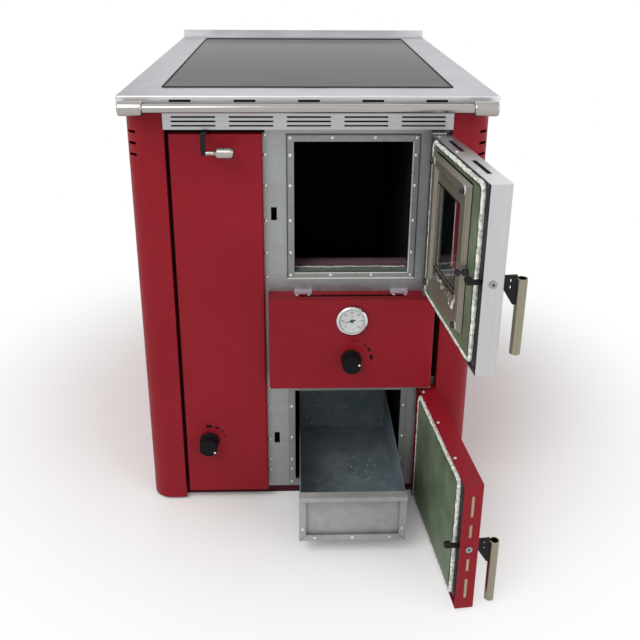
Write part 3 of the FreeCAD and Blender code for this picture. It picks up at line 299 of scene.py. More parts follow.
# Heat-stained sheet: brown and half dull
STEEL_TRIM = brushed("retainer_steel", "#7A756B", "#8B8578", (1.2, 1.2, 160), 0.4, "#E0E0E0", metallic=0.5)
# Hot-dipped sheet and plated screws: grey crystals, the larger the duller; ash lies in the drawer. The screw zinc
# also gives the painted highlight on the trim's lower lips
ZINC = zinc("zinc_sheet", [(0.3, "#949796"), (0.7, "#A1A4A4")], 9, 0.46)
TRIM_ZINC = zinc("trim_zinc", [(0.3, "#838481"), (0.7, "#919290")], 9, 0.4)
DRAWER_ZINC = zinc("drawer_zinc", [(0.3, "#8F9392"), (0.7, "#A0A3A1")], 14, 0.55, metallic=0.2)
ASHY_ZINC = zinc("ashy_drawer_zinc", [(0.3, "#6E7A80"), (0.7, "#88939A")], 16, 0.5, 0.35, "#DDE2E3")
SCREW_ZINC = zinc("screw_zinc", [(0.3, "#C2C2BF"), (0.7, "#D8D8D6")], 3, 0.3)
TAB_ZINC = zinc("passivated_tab_zinc", [(0.3, "#AFA5B2"), (0.7, "#C1B7C4")], 7, 0.42, metallic=0.5)
# Stove paints, rolled or dipped on steel: nearly no shine, clouded by heat. The boiler black also makes the black
# films of painted shade behind gaps, slots and round the window
BOILER_BLACK = matt("boiler_black_and_painted_shade", [(0.3, "#0E0D0D"), (0.7, "#191817")], 1.2, 0.75, gloss=0.15)
PAN_GREY = matt("door_pan_grey", [(0.3, "#46494C"), (0.7, "#575A5C")], 0.9, 0.5, metallic=0.3)
LEVER_BLACK = matt("lever_black", [(0.3, "#151314"), (0.7, "#1F1C1E")], 0.9, 0.5, gloss=0.15)
# Burnt bolt steel and the sand-rough skin of a casting. The bolt steel also gives the painted shade of the trim's
# folds and the pivots' driver holes
BOLT_DARK = matt("burnt_steel_and_painted_shade", [(0.3, "#3A3B40"), (0.7, "#55565A")], 0.8, 0.4, metallic=0.8)
IRON = matt("cast_iron_skin", [(0.3, "#1B1A1A"), (0.7, "#2B2826")], 2.2, 0.78, relief=0.6)
# Heat-proof paint, brushed on: chalky, and mottled where it has baked
LINING = matt("green_lining_paint", [(0.25, "#4C5A45"), (0.5, "#5F6E57"), (0.75, "#77806A")], 1.0, 0.5)
SILL = sill_paint()
# Moulded plastic with an etched grain, and extruded rubber: black, with a low even gloss
KNOB = matt("grained_black_plastic", [(0.3, "#0E0F10"), (0.7, "#161718")], 0.7, 0.5, relief=0.18, gloss=0.08)
SEAL = matt("black_seal_rubber", [(0.3, "#141414"), (0.7, "#1D1D1D")], 0.8, 0.7)
# Glass rope, putty, foil and board at the fire: white or tan, broken up and dull but for the foil
ROPE = matt("white_glass_rope", [(0.38, "#AFB1A9"), (0.58, "#F4F4EE")], 0.5, 0.9, relief=0.5, mottle=7)
PUTTY = matt("white_fire_putty", [(0.3, "#A9ADA8"), (0.7, "#D6D8D3")], 1.6, 0.85, relief=0.6)
FOIL = matt("torn_bright_foil", [(0.35, "#6E695F"), (0.6, "#D8D6CF")], 2.0, 0.35, relief=0.5, metallic=0.7)
LINER = matt("tan_liner_board", [(0.3, "#A89B80"), (0.7, "#BDB197")], 1.4, 0.85)
# Screen-printed inks and dial paint: flat colour, hardly any relief
DIAL = matt("white_dial_paint", [(0.3, "#E9EAE9"), (0.7, "#F2F2F1")], 0.6, 0.5, relief=0.05)
PRINT_BLACK = matt("black_print", [(0.3, "#0A0808"), (0.7, "#120F0F")], 0.6, 0.55, relief=0.05, gloss=0.1)
PRINT_WHITE = matt("white_print", [(0.3, "#F0F0EE"), (0.7, "#FAFAF8")], 0.6, 0.5, relief=0.05)
# Polished chrome, glass ceramic and window glass: clean reflections
CHROME = brushed("bright_chrome", "#C6C6C8", "#DEDEE0", (30, 30, 30), 0.16, "#FFFFFF")
HOB = hob_ceramic()
WINDOW = clear_glass("fire_window", "#EEF3EF")
GAUGE_GLASS = clear_glass("gauge_window", "#FFFFFF")

FINISHES = {
    ENAMEL: "left_side_panel right_side_panel left_front_panel control_panel ash_door_tray",
    DARK_RED: "base_tray",
    STEEL_TOP: "worktop_frame rear_upstand",
    STEEL_GRIP: "damper_grip",
    STEEL_VENT: "vent_grille",
    STEEL_RAIL: "rail_tube rail_sockets rail_posts",
    STEEL_DOOR: "fire_door_tray",
    STEEL_TUBE: "fire_handle ash_handle",
    STEEL_TRIM: "fire_door_glass_frame",
    ZINC: "rear_panel front_plate fire_hinge_brackets ash_hinge_brackets fire_pivot_screw ash_pivot_screw",
    TRIM_ZINC: "firebox_trim ash_trim",
    DRAWER_ZINC: "drawer_front",
    ASHY_ZINC: "drawer_box",
    TAB_ZINC: "control_panel_tabs",
    BOILER_BLACK: (
        "boiler_left_jacket boiler_right_jacket boiler_rear_exchanger boiler_front_jacket smoke_box ash_floor "
        "flue_spigot water_sockets damper_plate control_shutter left_shutter"
    ),
    PAN_GREY: "fire_door_inner_tray ash_door_inner_tray",
    LEVER_BLACK: "fire_lever ash_lever damper_bar",
    IRON: "fire_grate",
    LINING: "fire_door_plate ash_door_plate",
    SILL: "fire_sill",
    ROPE: "fire_door_gasket ash_door_gasket",
    KNOB: "control_knob left_knob gauge_needle",
    SEAL: "hob_seal",
    HOB: "hob_glass",
    WINDOW: "fire_door_glass",
    GAUGE_GLASS: "gauge_glass",
    CHROME: "gauge_case",
    DIAL: "gauge_dial",
}
for finish, names in FINISHES.items():
    for name in names.split():
        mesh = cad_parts[name].data
        mesh.materials.clear()
        mesh.materials.append(finish)


# Shapes

# An edge stays sharp past this angle, in degrees; the rims of bars and print are sunk a little, in mm
EDGE_ANGLE = 40.0
MERGE_METRES = 1e-6
RIM_SUNK = 0.05


def quads(rows, columns, close_rows, close_columns):
    """Corner numbers of the cells of a grid counted row by row; closing joins the last row or column to the first."""
    row = np.arange(rows if close_rows else rows - 1)[:, None]
    column = np.arange(columns if close_columns else columns - 1)[None, :]
    next_row, next_column = (row + 1) % rows, (column + 1) % columns
    corners = [
        row * columns + column, row * columns + next_column,
        next_row * columns + next_column, next_row * columns + column,
    ]
    return np.stack(np.broadcast_arrays(*corners), -1).reshape(-1, 4)


def piece(name, patches, body, finish, closed=(False, False), sharp=EDGE_ANGLE):
    """One mesh from grid patches of points in mm, whose copies stack on leading axes; closed tells whether their rows
    and their columns join up."""
    points, faces, start = [], [], 0
    for patch in patches:
        copies = patch.reshape(-1, *patch.shape[-3:])
        cells = quads(copies.shape[1], copies.shape[2], *closed)
        size = copies.shape[1] * copies.shape[2]
        steps = start + size * np.arange(len(copies))
        faces.append((steps[:, None, None] + cells).reshape(-1, 4))
        points.append(copies.reshape(-1, 3))
        start += size * len(copies)
    mesh = bpy.data.meshes.new(name)
    mesh.from_pydata((np.concatenate(points) * MM).tolist(), [], np.concatenate(faces).tolist())
    return placed(name, mesh, body, finish, sharp)


def placed(name, mesh, body, finish, sharp=EDGE_ANGLE):
    """Merges a mesh's doubles, turns its faces outwards, and lets it ride on a body with its finish."""
    work = bmesh.new()
    work.from_mesh(mesh)
    bmesh.ops.remove_doubles(work, verts=work.verts, dist=MERGE_METRES)
    bmesh.ops.recalc_face_normals(work, faces=work.faces)
    work.to_mesh(mesh)
    work.free()
    mesh.shade_smooth()
    mesh.set_sharp_from_angle(angle=math.radians(sharp))
    mesh.materials.append(finish)
    made = bpy.data.objects.new(name, mesh)
    bpy.context.scene.collection.objects.link(made)
    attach(made, body)
    return made


def open_door(points):
    """Points of a shut door turned to the rest angle about the upright hinge line."""
    points = np.asarray(points, float)
    c, s = math.cos(DOOR_REST), math.sin(DOOR_REST)
    x, y = points[..., 0] - HINGE[0], points[..., 1] - HINGE[1]
    return np.stack([HINGE[0] + c * x - s * y, HINGE[1] + s * x + c * y, points[..., 2]], -1)


def turned_heads(centres, axis, profile, sides):
    """A profile of (radius, height) pairs spun about axis at each centre: the radius swings round by angle, and the
    height runs along the axis."""
    axis = np.asarray(axis, float)
    helper = np.array([0.0, 0.0, 1.0]) if abs(axis[2]) < 0.9 else np.array([1.0, 0.0, 0.0])
    across = np.cross(axis, helper)
    up = np.cross(axis, across)
    angle = np.linspace(0, FULL_TURN, sides, endpoint=False)
    radius, height = np.array(profile, float).T
    ring = np.cos(angle)[:, None] * across + np.sin(angle)[:, None] * up
    shape = radius[:, None, None] * ring[None] + height[:, None, None] * axis
    return np.asarray(centres, float).reshape(-1, 1, 1, 3) + shape[None]


def heads(name, centres, axis, profile, body, finish=SCREW_ZINC, sides=14):
    """A set of like screw, rivet or nut heads on one face; those on a door are given on the shut door."""
    shape = turned_heads(centres, axis, profile, sides)
    if body.endswith("_door"):
        shape = open_door(shape)
    piece(name, [shape], body, finish, closed=(False, True))


def bars(middles, along, across, out, length, width, lift, sunk=RIM_SUNK):
    """Low flat bars: u runs along, v across; the rim of the grid is sunk into the face and the rest is lifted."""
    step = np.array([-1.0, -1.0, 1.0, 1.0])
    rim = np.array([True, False, False, True])
    height = np.where(rim[:, None] | rim[None, :], -sunk, lift)[..., None]
    u = step[:, None, None] * np.reshape(length, (-1, 1, 1, 1)) / 2
    v = step[None, :, None] * np.reshape(width, (-1, 1, 1, 1)) / 2
    along, across = (np.reshape(way, (-1, 1, 1, 3)) for way in (along, across))
    return np.reshape(middles, (-1, 1, 1, 3)) + u * along + v * across + height * np.asarray(out, float)


def strips(face, spans, out, lift):
    """Low flat bars on an upright face, each from its lower left corner (x, z) to its upper right one."""
    spans = np.array(spans, float)
    x, z = spans.mean(1).T
    width, length = (spans[:, 1] - spans[:, 0]).T
    return bars(np.stack([x, np.full(len(spans), face), z], -1), UP, RIGHT, out, length, width, lift)


def waves(x, *lengths):
    """Sum of sines of the given wave lengths, each with its own start, scaled to about -1 to 1."""
    sines = [np.sin(FULL_TURN * x / length + 1.7 * k) for k, length in enumerate(lengths)]
    return sum(sines) / len(lengths)


def ring_path(low, high, corner, step):
    """Round-cornered rectangle: the corner's centre runs straight while the normal stands still, then waits while it
    turns. Gives the share of the way at each step, the whole length, the points and the normals."""
    (x0, z0), (x1, z1) = np.add(low, corner), np.subtract(high, corner)
    centres = np.array([
        (x1, z0), (x1, z1), (x1, z1), (x0, z1), (x0, z1), (x0, z0), (x0, z0), (x1, z0), (x1, z0),
    ])
    angles = np.array([0, 0, 1, 1, 2, 2, 3, 3, 4]) * FULL_TURN / 4
    lengths = np.abs(np.diff(centres, axis=0)).sum(1) + corner * np.diff(angles)
    along = np.concatenate([[0], np.cumsum(lengths)])
    s = np.linspace(0, along[-1], round(along[-1] / step), endpoint=False)
    x, z, angle = (np.interp(s, along, values) for values in (centres[:, 0], centres[:, 1], angles))
    normal = np.stack([np.cos(angle), np.sin(angle)], -1)
    return s / along[-1], along[-1], np.stack([x, z], -1) + corner * normal, normal


ROPE_RADIUS = 4.0
ROPE_CORNER = 9.0
ROPE_Y = -426.0
ROPE_SIDES = 18
ROPE_STRANDS = 6
ROPE_LAY = 11.0
ROPE_RELIEF = 0.5
ROPE_STEP = 1.25
ROPE_WANDER = 0.9
ROPE_SWELL = 0.12
ROPE_EDGE = 70.0


def door_rope(name, node, body, low, high):
    """Braided rope round a door: a tube on a round-cornered ring, pressed in where two sets of strands, winding
    opposite ways, both leave a hollow. The strand height is the larger of |cos(n a / 2 + k s)|, |cos(n a / 2 - k s)|.
    The ring wanders and swells a little by sums of sines that close on themselves."""
    share, length, path, normal = ring_path(low, high, ROPE_CORNER, ROPE_STEP)
    path = path + ROPE_WANDER * waves(share, 1 / 9, 1 / 23, 1 / 41)[:, None] * normal
    swell = 1 + ROPE_SWELL * waves(share, 1 / 17, 1 / 37, 1 / 71)[:, None]
    angle = np.linspace(0, FULL_TURN, ROPE_SIDES, endpoint=False)
    lay = FULL_TURN * round(length / ROPE_LAY) * share[:, None]
    wind = ROPE_STRANDS / 2 * angle[None, :]
    strand = np.maximum(np.abs(np.cos(wind + lay)), np.abs(np.cos(wind - lay)))
    radius = ROPE_RADIUS * swell * (1 - ROPE_RELIEF * (1 - strand))
    side = radius * np.cos(angle)
    x, z = (path[:, None, :] + side[..., None] * normal[:, None, :]).transpose(2, 0, 1)
    points = np.stack([x, ROPE_Y + radius * np.sin(angle), z], -1)
    rope = piece(name, [open_door(points)], body, ROPE, closed=(True, True), sharp=ROPE_EDGE)
    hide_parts(node)


PRINT_LIFT = 0.12
# Each dash: angle, length, width at its start and at its end
CONTROL_DASHES = [(4, 12.0, 6.0, 5.4), (29, 11.0, 4.7, 3.4), (49, 8.0, 2.7, 1.8), (80, 17.0, 1.5, 1.0)]
LEFT_DASHES = [(15, 9.5, 1.8, 2.3), (39, 5.5, 3.0, 3.6), (61, 9.5, 4.2, 5.4), (90, 13.0, 6.4, 7.2)]


def scale_dashes(name, centre, face, radius, dashes):
    """Printed dashes on an arc: u runs along the arc, v across, and the width narrows to a point at both ends as
    the sixth-power circle (1 - u to the 6) to the power 1/6."""
    u = np.linspace(-1, 1, 13)
    shapes = []
    for angle, length, first, last in dashes:
        turn = math.radians(angle) + u * length / 2 / radius
        half = (first + (last - first) * (u + 1) / 2) / 2 * (1 - u ** 6) ** (1 / 6)
        reach = radius + half[:, None] * np.array([-1.0, -1.0, 1.0, 1.0])
        out = np.broadcast_to(np.array([RIM_SUNK, -PRINT_LIFT, -PRINT_LIFT, RIM_SUNK]), reach.shape)
        shapes.append(np.stack([
            centre[0] + reach * np.cos(turn)[:, None], face + out, centre[1] + reach * np.sin(turn)[:, None],
        ], -1))
    piece(name, [np.stack(shapes)], "stove", PRINT_BLACK)


# Turned profiles, each from the middle of its foot over its rim to the middle of its top: radius, height
# Pan head with a dimple for the driver: a low dome that dips in the middle, and the same head smaller
PAN_HEAD = [(0, -0.3), (3.6, -0.3), (3.6, 0.7), (3.0, 1.4), (1.9, 1.8), (1.2, 1.8), (0.9, 1.0), (0, 0.9)]
SMALL_HEAD = [(radius * 0.9, height * 0.8) for radius, height in PAN_HEAD]
# Blind rivet: a flat brim, a dome and the sunk stub of its pin
RIVET = [(0, -0.2), (3.4, -0.2), (3.4, 0.5), (2.8, 1.1), (1.7, 1.4), (1.4, 0.7), (0, 0.6)]
# Dish washer, hollow in the middle, and the domed nut that stands in it
WASHER = [(0, -0.2), (8.5, -0.2), (8.5, 0.9), (7.6, 1.7), (6.4, 1.9), (5.6, 1.2), (0, 1.0)]
NUT = [(0, 0.9), (5.6, 0.9), (5.6, 4.6), (4.9, 5.4), (3.2, 5.6), (3.0, 6.8), (2.2, 7.2), (0, 7.2)]
# Threaded stud: a foot, two nuts and the bare thread between them
STUD = [
    (0, -0.2), (6.5, -0.2), (6.5, 1.6), (3.0, 1.6), (3.0, 3.4), (5.8, 3.4), (5.8, 8.4), (2.8, 8.4),
    (2.8, 14.2), (5.6, 14.2), (5.6, 18.6), (4.4, 19.4), (0, 19.4),
]
# Cap on the hub of the needle
HUB = [(0, -0.1), (3.6, -0.1), (3.6, 0.5), (2.8, 1.0), (0, 1.1)]
# Six-sided driver hole, drawn as a flat disc, dark for the painted shade of the recess
KEY_HOLE = [(0, -0.2), (2.7, -0.2), (2.7, 0.05), (0, 0.05)]
# Paint dot: a shallow dome
DOT = [(0, -0.2), (2.0, -0.2), (2.0, 0.05), (1.5, 0.22), (0, 0.3)]


def front_fixings():
    """Screws in the front plate, the two trims and the control panel's flange."""
    plate_x, plate_rows = -80.0, (786, 749, 690, 621, 556, 505, 258, 210, 133, 84, 58)
    heads("plate_screws", [(plate_x, PLATE_FACE, z) for z in plate_rows], FRONT, PAN_HEAD, "stove")
    sides, middles = (-34, 198), (43, 122)
    fire_top, fire_foot, ash_foot = 781, 509, 27
    fire = [(x, TRIM_FACE, z) for x in sides for z in (fire_top, 748, 690, 621, 556, fire_foot)]
    fire += [(x, TRIM_FACE, z) for x in middles for z in (fire_top, fire_foot)]
    heads("fire_trim_screws", fire, FRONT, SMALL_HEAD, "stove")
    ash = [(x, TRIM_FACE, z) for x in sides for z in (259, 214, 139, 84, 60, ash_foot)]
    ash += [(x, TRIM_FACE, ash_foot) for x in middles]
    heads("ash_trim_screws", ash, FRONT, SMALL_HEAD, "stove")
    flange_y = -436.0
    heads("flange_screws", [(x, flange_y, FLANGE_TOP) for x in (-22, 1, 165, 188)], UP, SMALL_HEAD, "stove")


# Strips, each from its lower left corner (x, z) to its upper right one
FOLD_LIFT, FOOT_LIFT = 1.2, 1.3
# The folds are dark for painted shade; the foot and mouth lips are bright for a painted highlight
SHADED_FOLDS = [((-41, 502.5), (-39, 787.5)), ((203, 502.5), (205, 787.5)), ((-41, 786), (205, 788))]
FOOT_LIPS = [((-40.5, 502.3), (204.5, 504.9)), ((-27, 514), (191, 515.8))]
MOUTH_LIP = [((191.3, 516.5), (193.1, 773.5))]
FILM = 0.2
# Painted shade: black films where the gaps at the panels, the vent and the fascia slots show only shade
PLATE_GAPS = [
    ((-262, 6), (-249, 803)), ((-262, 790), (-80, 803)), ((244, 282), (262, 475)), ((-256, 804), (256, 829)),
]
FASCIA_SLOTS = [((-256, 849.5), (256, 859.5))]
# Painted shade along the retainer's head and latch side, and round the window's edge
RETAINER_SHADE = [((-10, 771), (184, 775)), ((-14, 519.5), (-10, 774.5))]
WINDOW_EDGE_SHADE = [((35, 567), (163, 570)), ((35, 724), (163, 727)), ((35, 570), (38, 724)), ((160, 570), (163, 724))]
# Painted shade under the fire door's top slots: length and width
SLOT_SHADE_LENGTH, SLOT_SHADE_WIDTH = 250.0, 24.0


def trim_folds():
    """Folded edges of the firebox trim, as low flat bars along its outline: dark at the sides and the top for painted
    shade, and bright below and on the hinge side of the mouth for a painted highlight."""
    folds = strips(TRIM_FACE, SHADED_FOLDS, FRONT, FOLD_LIFT)
    piece("fire_trim_folds", [folds], "stove", BOLT_DARK)
    lips = [strips(TRIM_FACE, FOOT_LIPS, FRONT, FOOT_LIFT), strips(TRIM_FACE, MOUTH_LIP, FRONT, FOLD_LIFT)]
    piece("fire_trim_lips", lips, "stove", SCREW_ZINC)


def shadow_paint():
    """Painted shade: black films on the plate behind the gaps at the panels' edges and the vent, and behind the
    fascia slots: flat bars, a film thick.
    """
    films = [strips(PLATE_FACE, PLATE_GAPS, FRONT, FILM), strips(FASCIA_BACK, FASCIA_SLOTS, REAR, FILM)]
    piece("shadow_paint", films, "stove", BOILER_BLACK)


def slot_shadow():
    """Painted shade on the pan under the slots in the fire door's upper edge: a flat black film."""
    middle = (COLUMN_MIDDLE, TRAY_MIDDLE, PAN_TOP)
    film = bars([middle], RIGHT, REAR, UP, SLOT_SHADE_LENGTH, SLOT_SHADE_WIDTH, FILM)
    piece("slot_shadow", [open_door(film)], "fire_door", BOILER_BLACK)


def window_soot():
    """Painted shade along the head and the latch side of the glass retainer, and round the window's edge: flat black
    films.
    """
    films = [strips(LINING_FACE, RETAINER_SHADE, REAR, FILM), strips(RETAINER_SHEET, WINDOW_EDGE_SHADE, REAR, FILM)]
    piece("window_soot", [open_door(film) for film in films], "fire_door", BOILER_BLACK)


def rear_fixings():
    """Screws along the edges of the rear panel, and in the rear edges of the side panels."""
    sides, middles, rows = (-314, 314), (-160, 0, 160), (26, 186, 346, 506, 666, 822)
    edge = [(x, REAR_FACE, z) for x in sides for z in rows]
    ends = [(x, REAR_FACE, z) for x in middles for z in (rows[0], rows[-1])]
    heads("rear_screws", edge + ends, REAR, PAN_HEAD, "stove")
    side_y, side_rows = REAR_FACE - 22, (60, 240, 420, 600, 780)
    for name, x, out in (("left_side_screws", -SIDE_FACE, LEFT), ("right_side_screws", SIDE_FACE, RIGHT)):
        heads(name, [(x, side_y, z) for z in side_rows], out, PAN_HEAD, "stove")


def door_fixings():
    """Screws on the doors' upper edges, driver holes of the pivots as flat discs of painted shade, and bolts on the
    glass retainer.
    """
    for body, top in (("fire_door", FIRE_DOOR_TOP), ("ash_door", ASH_DOOR_TOP)):
        heads(body + "_screws", [(x, DOOR_SCREW_Y, top) for x in (214, 108, 0)], UP, SMALL_HEAD, body)
    for body, z in (("fire_door", FIRE_PIVOT_Z), ("ash_door", ASH_PIVOT_Z)):
        hole = [(LATCH_EDGE - PIVOT_HEAD, PIVOT_Y, z)]
        heads(body + "_pivot_hole", hole, LEFT, KEY_HOLE, body, BOLT_DARK, sides=6)
    corners = [(x, RETAINER_RIB, z) for x in (1, 173) for z in (531, 760)]
    heads("retainer_washers", corners, REAR, WASHER, "fire_door", sides=20)
    heads("retainer_nuts", corners, REAR, NUT, "fire_door", BOLT_DARK, sides=18)
    stud = [(-18, LINING_FACE, 632)]
    heads("retainer_stud", stud, REAR, STUD, "fire_door", BOLT_DARK, sides=18)


RIM_SIDES, RIM_FOOT = (-13.5, 177.5), 41.8
MITRE_LENGTH, MITRE_WIDTH, MITRE_LIFT = 17.0, 0.8, 0.06


def drawer_fixings():
    """Rivets on the drawer's folded rim, and the two mitre joints at its lower corners."""
    left, right = RIM_SIDES
    rivets = [(left, 62), (10, 42), (82, 42), (154, 42), (right, 62)]
    heads("drawer_rivets", [(x, DRAWER_RIM, z) for x, z in rivets], FRONT, RIVET, "ash_drawer")
    half = math.sqrt(0.5)
    corners = [(x, DRAWER_RIM, RIM_FOOT) for x in RIM_SIDES]
    along = [(half, 0, half), (-half, 0, half)]
    across = [(-half, 0, half), (half, 0, half)]
    mitres = bars(corners, along, across, FRONT, MITRE_LENGTH, MITRE_WIDTH, MITRE_LIFT)
    piece("drawer_mitres", [mitres], "ash_drawer", BOLT_DARK)


BOARD_INSET, BOARD_HALF = 2.1, 0.3
BOARD_LENGTH, BOARD_WIDTH = 238.0, 24.0


def ash_edge_liner():
    """Board behind the slots of the ash door's free edge: a flat bar with thin sides, just inside the tray."""
    middle = (LATCH_EDGE + BOARD_INSET, TRAY_MIDDLE, ASH_PIVOT_Z)
    board = bars([middle], UP, REAR, LEFT, BOARD_LENGTH, BOARD_WIDTH, BOARD_HALF, sunk=BOARD_HALF)
    piece("ash_edge_liner", [open_door(board)], "ash_door", LINER)


PUTTY_START, PUTTY_END = -26.0, 190.0
PUTTY_Y = -392.5
PUTTY_SUNK = 0.2
PUTTY_EDGE = 80.0


def sill_putty():
    """Ragged line of white putty along the sill: x runs across the opening, v over a low bead whose middle, width
    and height wander with sums of sines, wave lengths in mm, and which is thicker at one lump."""
    x = np.linspace(PUTTY_START, PUTTY_END, 120)[:, None]
    v = np.linspace(-1, 1, 9)[None, :]
    middle = PUTTY_Y + 1.8 * waves(x, 61, 27, 143)
    lump = 3.0 * np.exp(-((x - 32) / 26) ** 2)
    half = 2.3 + 1.3 * waves(x, 47, 19, 88) + lump
    height = (1.4 + 0.6 * waves(x, 13, 31, 7)) * (1 - v ** 2)
    edge = 0.7 * waves(x + 9 * v, 11, 5)
    points = np.stack(np.broadcast_arrays(x, middle + (half + edge) * v, SILL_TOP - PUTTY_SUNK + height), -1)
    piece("sill_putty", [points], "stove", PUTTY, sharp=PUTTY_EDGE)


BRICK_START, BRICK_END = -33.9, 197.9
BRICK_FRONT, BRICK_DEPTH = -376.0, 34.0
# Depth and height, from the front foot over the worn edges to the rear foot
BRICK_OUTLINE = np.array([
    (BRICK_FRONT, 496), (BRICK_FRONT, 514.4), (-374.6, 515.2), (-360, 515.5), (-345, 514.8), (-342.4, 513.2),
    (-341.6, 510), (-341.6, 496),
])


def sill_brick():
    """Scorched brick behind the sill: a worn outline of depth and height, carried across the firebox, with a back
    edge that wanders by a sum of sines. Both ends close on their middle point."""
    y, z = BRICK_OUTLINE.T[:, None, :]
    x = np.linspace(BRICK_START, BRICK_END, 70)[:, None]
    back = np.clip((y - BRICK_FRONT) / BRICK_DEPTH, 0, 1)
    points = np.stack(np.broadcast_arrays(x, y + 1.2 * back * waves(x, 83, 31, 12), z), -1)
    ends = np.broadcast_to(points[[0, -1]].mean(1, keepdims=True), (2, *points.shape[1:]))
    points = np.concatenate([ends[:1], points, ends[1:]])
    piece("sill_brick", [points], "stove", SILL, closed=(False, True))


HOB_LOW, HOB_HIGH = (-267, -368.5), (267, 388.5)
BEAD_CORNER = 4.0
BEAD_STEP = 4.0
BEAD_SIDES = 14
BEAD_RADIUS = 2.2


def hob_bead():
    """Black seal bead round the hob: a circle of radius r, r cos a across and r sin a up, carried round the rectangle
    of the glass, with its lower half sunk in the joint."""
    path, normal = ring_path(HOB_LOW, HOB_HIGH, BEAD_CORNER, BEAD_STEP)[2:]
    angle = np.linspace(0, FULL_TURN, BEAD_SIDES, endpoint=False)
    across = BEAD_RADIUS * np.cos(angle)
    x, y = (path[:, None, :] + across[None, :, None] * normal[:, None, :]).transpose(2, 0, 1)
    rise = np.broadcast_to(WORKTOP + BEAD_RADIUS * np.sin(angle), x.shape)
    piece("hob_bead", [np.stack([x, y, rise], -1)], "stove", SEAL, closed=(True, True))


FOIL_SHEET = 0.2
FOIL_GAP = 0.15
FOIL_FOLD = 3.2
FOIL_RAGGED = 0.22
FOIL_EDGE = 25.0
# Each leaf: x and z of its middle, width, height and lean in degrees
FOIL_LEAVES = [
    (142, 562, 28, 11, -4), (120, 561, 17, 14, 12), (99, 559, 16, 17, -18), (76, 561, 25, 13, 8),
    (52, 558, 19, 18, 24), (33, 552, 13, 16, -10), (24, 566, 9, 12, 30),
]


def foil_scraps():
    """Torn foil under the window: small leaves that are folded by crossing sines, with ragged outlines. The folds are
    deepest at the rim, where a leaf's front and back meet."""
    u, v = np.meshgrid(np.linspace(-1, 1, 11), np.linspace(-1, 1, 9), indexing="ij")
    leaves = []
    for k, (x, z, wide, tall, lean) in enumerate(FOIL_LEAVES):
        ragged = 1 + FOIL_RAGGED * waves(7 * (u * (k + 2) + v), 5.0, 3.1)
        fold = np.abs(waves(9 * u + 5 * v + 4 * k, 6.0, 9.0)) + 0.5 * np.abs(waves(8 * v - 6 * u + k, 4.0, 7.0))
        across, rise = wide / 2 * u * ragged, tall / 2 * v * ragged
        turn = math.radians(lean)
        rim = np.maximum(np.abs(u), np.abs(v))
        front = RETAINER_SHEET + FOIL_GAP + FOIL_FOLD * fold * (0.35 + 0.65 * rim)
        for depth in (front, front - FOIL_SHEET * (1 - rim)):
            leaves.append(np.stack([
                x + across * math.cos(turn) - rise * math.sin(turn),
                depth,
                z + across * math.sin(turn) + rise * math.cos(turn),
            ], -1))
    shape = open_door(np.stack(leaves))
    piece("foil_scraps", [shape], "fire_door", FOIL, sharp=FOIL_EDGE)


# From the middle of each knob to its dot
CONTROL_DOT, LEFT_DOT = (14.0, 1.5), (13.0, -9.0)


def knob_dots():
    """White paint dots that show how the two air knobs stand."""
    for body, knob, face, dot in (
        ("control_knob", CONTROL_KNOB, CONTROL_KNOB_FACE, CONTROL_DOT),
        ("left_knob", LEFT_KNOB, LEFT_KNOB_FACE, LEFT_DOT),
    ):
        place = (knob[0] + dot[0], face, knob[1] + dot[1])
        heads(body + "_dot", [place], FRONT, DOT, body, PRINT_WHITE)


# Angles in degrees; ticks and the bars of their ring have a length and a width
DIAL_START, DIAL_SWEEP = 225.0, 270.0
DIAL_TOP_READING = 120
DIAL_LIFT = 0.06
TICK_RADIUS = 24.0
LONG_TICK, SHORT_TICK = (3.6, 0.75), (2.0, 0.4)
RING_RADIUS = 24.2
RING_BAR = (1.95, 0.35)
NUMBER_RADIUS, NUMBER_SIZE = 17.4, 5.4
UNIT_RADIUS, UNIT_SIZE = 9.5, 4.4


def dial_angle(reading):
    """Angle of a reading, from the lower left clockwise to the lower right."""
    return np.radians(DIAL_START - DIAL_SWEEP * np.asarray(reading, float) / DIAL_TOP_READING)


def dial_ticks():
    """Thin radial bars on the dial, each tenth longer, and the fine ring that they stand on, as short bars."""
    readings = np.arange(0, DIAL_TOP_READING + 1, 2)
    length, width = np.where((readings % 10 == 0)[:, None], LONG_TICK, SHORT_TICK).T
    angle = dial_angle(readings)
    outward = np.stack([np.cos(angle), 0 * angle, np.sin(angle)], -1)
    sideways = np.stack([-np.sin(angle), 0 * angle, np.cos(angle)], -1)
    centre = np.array([GAUGE[0], DIAL_FACE, GAUGE[1]])
    middles = centre + outward * (TICK_RADIUS - length / 2)[:, None]
    ticks = bars(middles, outward, sideways, FRONT, length, width, DIAL_LIFT)
    ring = bars(centre + outward[:-1] * RING_RADIUS, sideways[:-1], outward[:-1], FRONT, *RING_BAR, DIAL_LIFT)
    piece("dial_ticks", [ticks, ring], "stove", PRINT_BLACK)


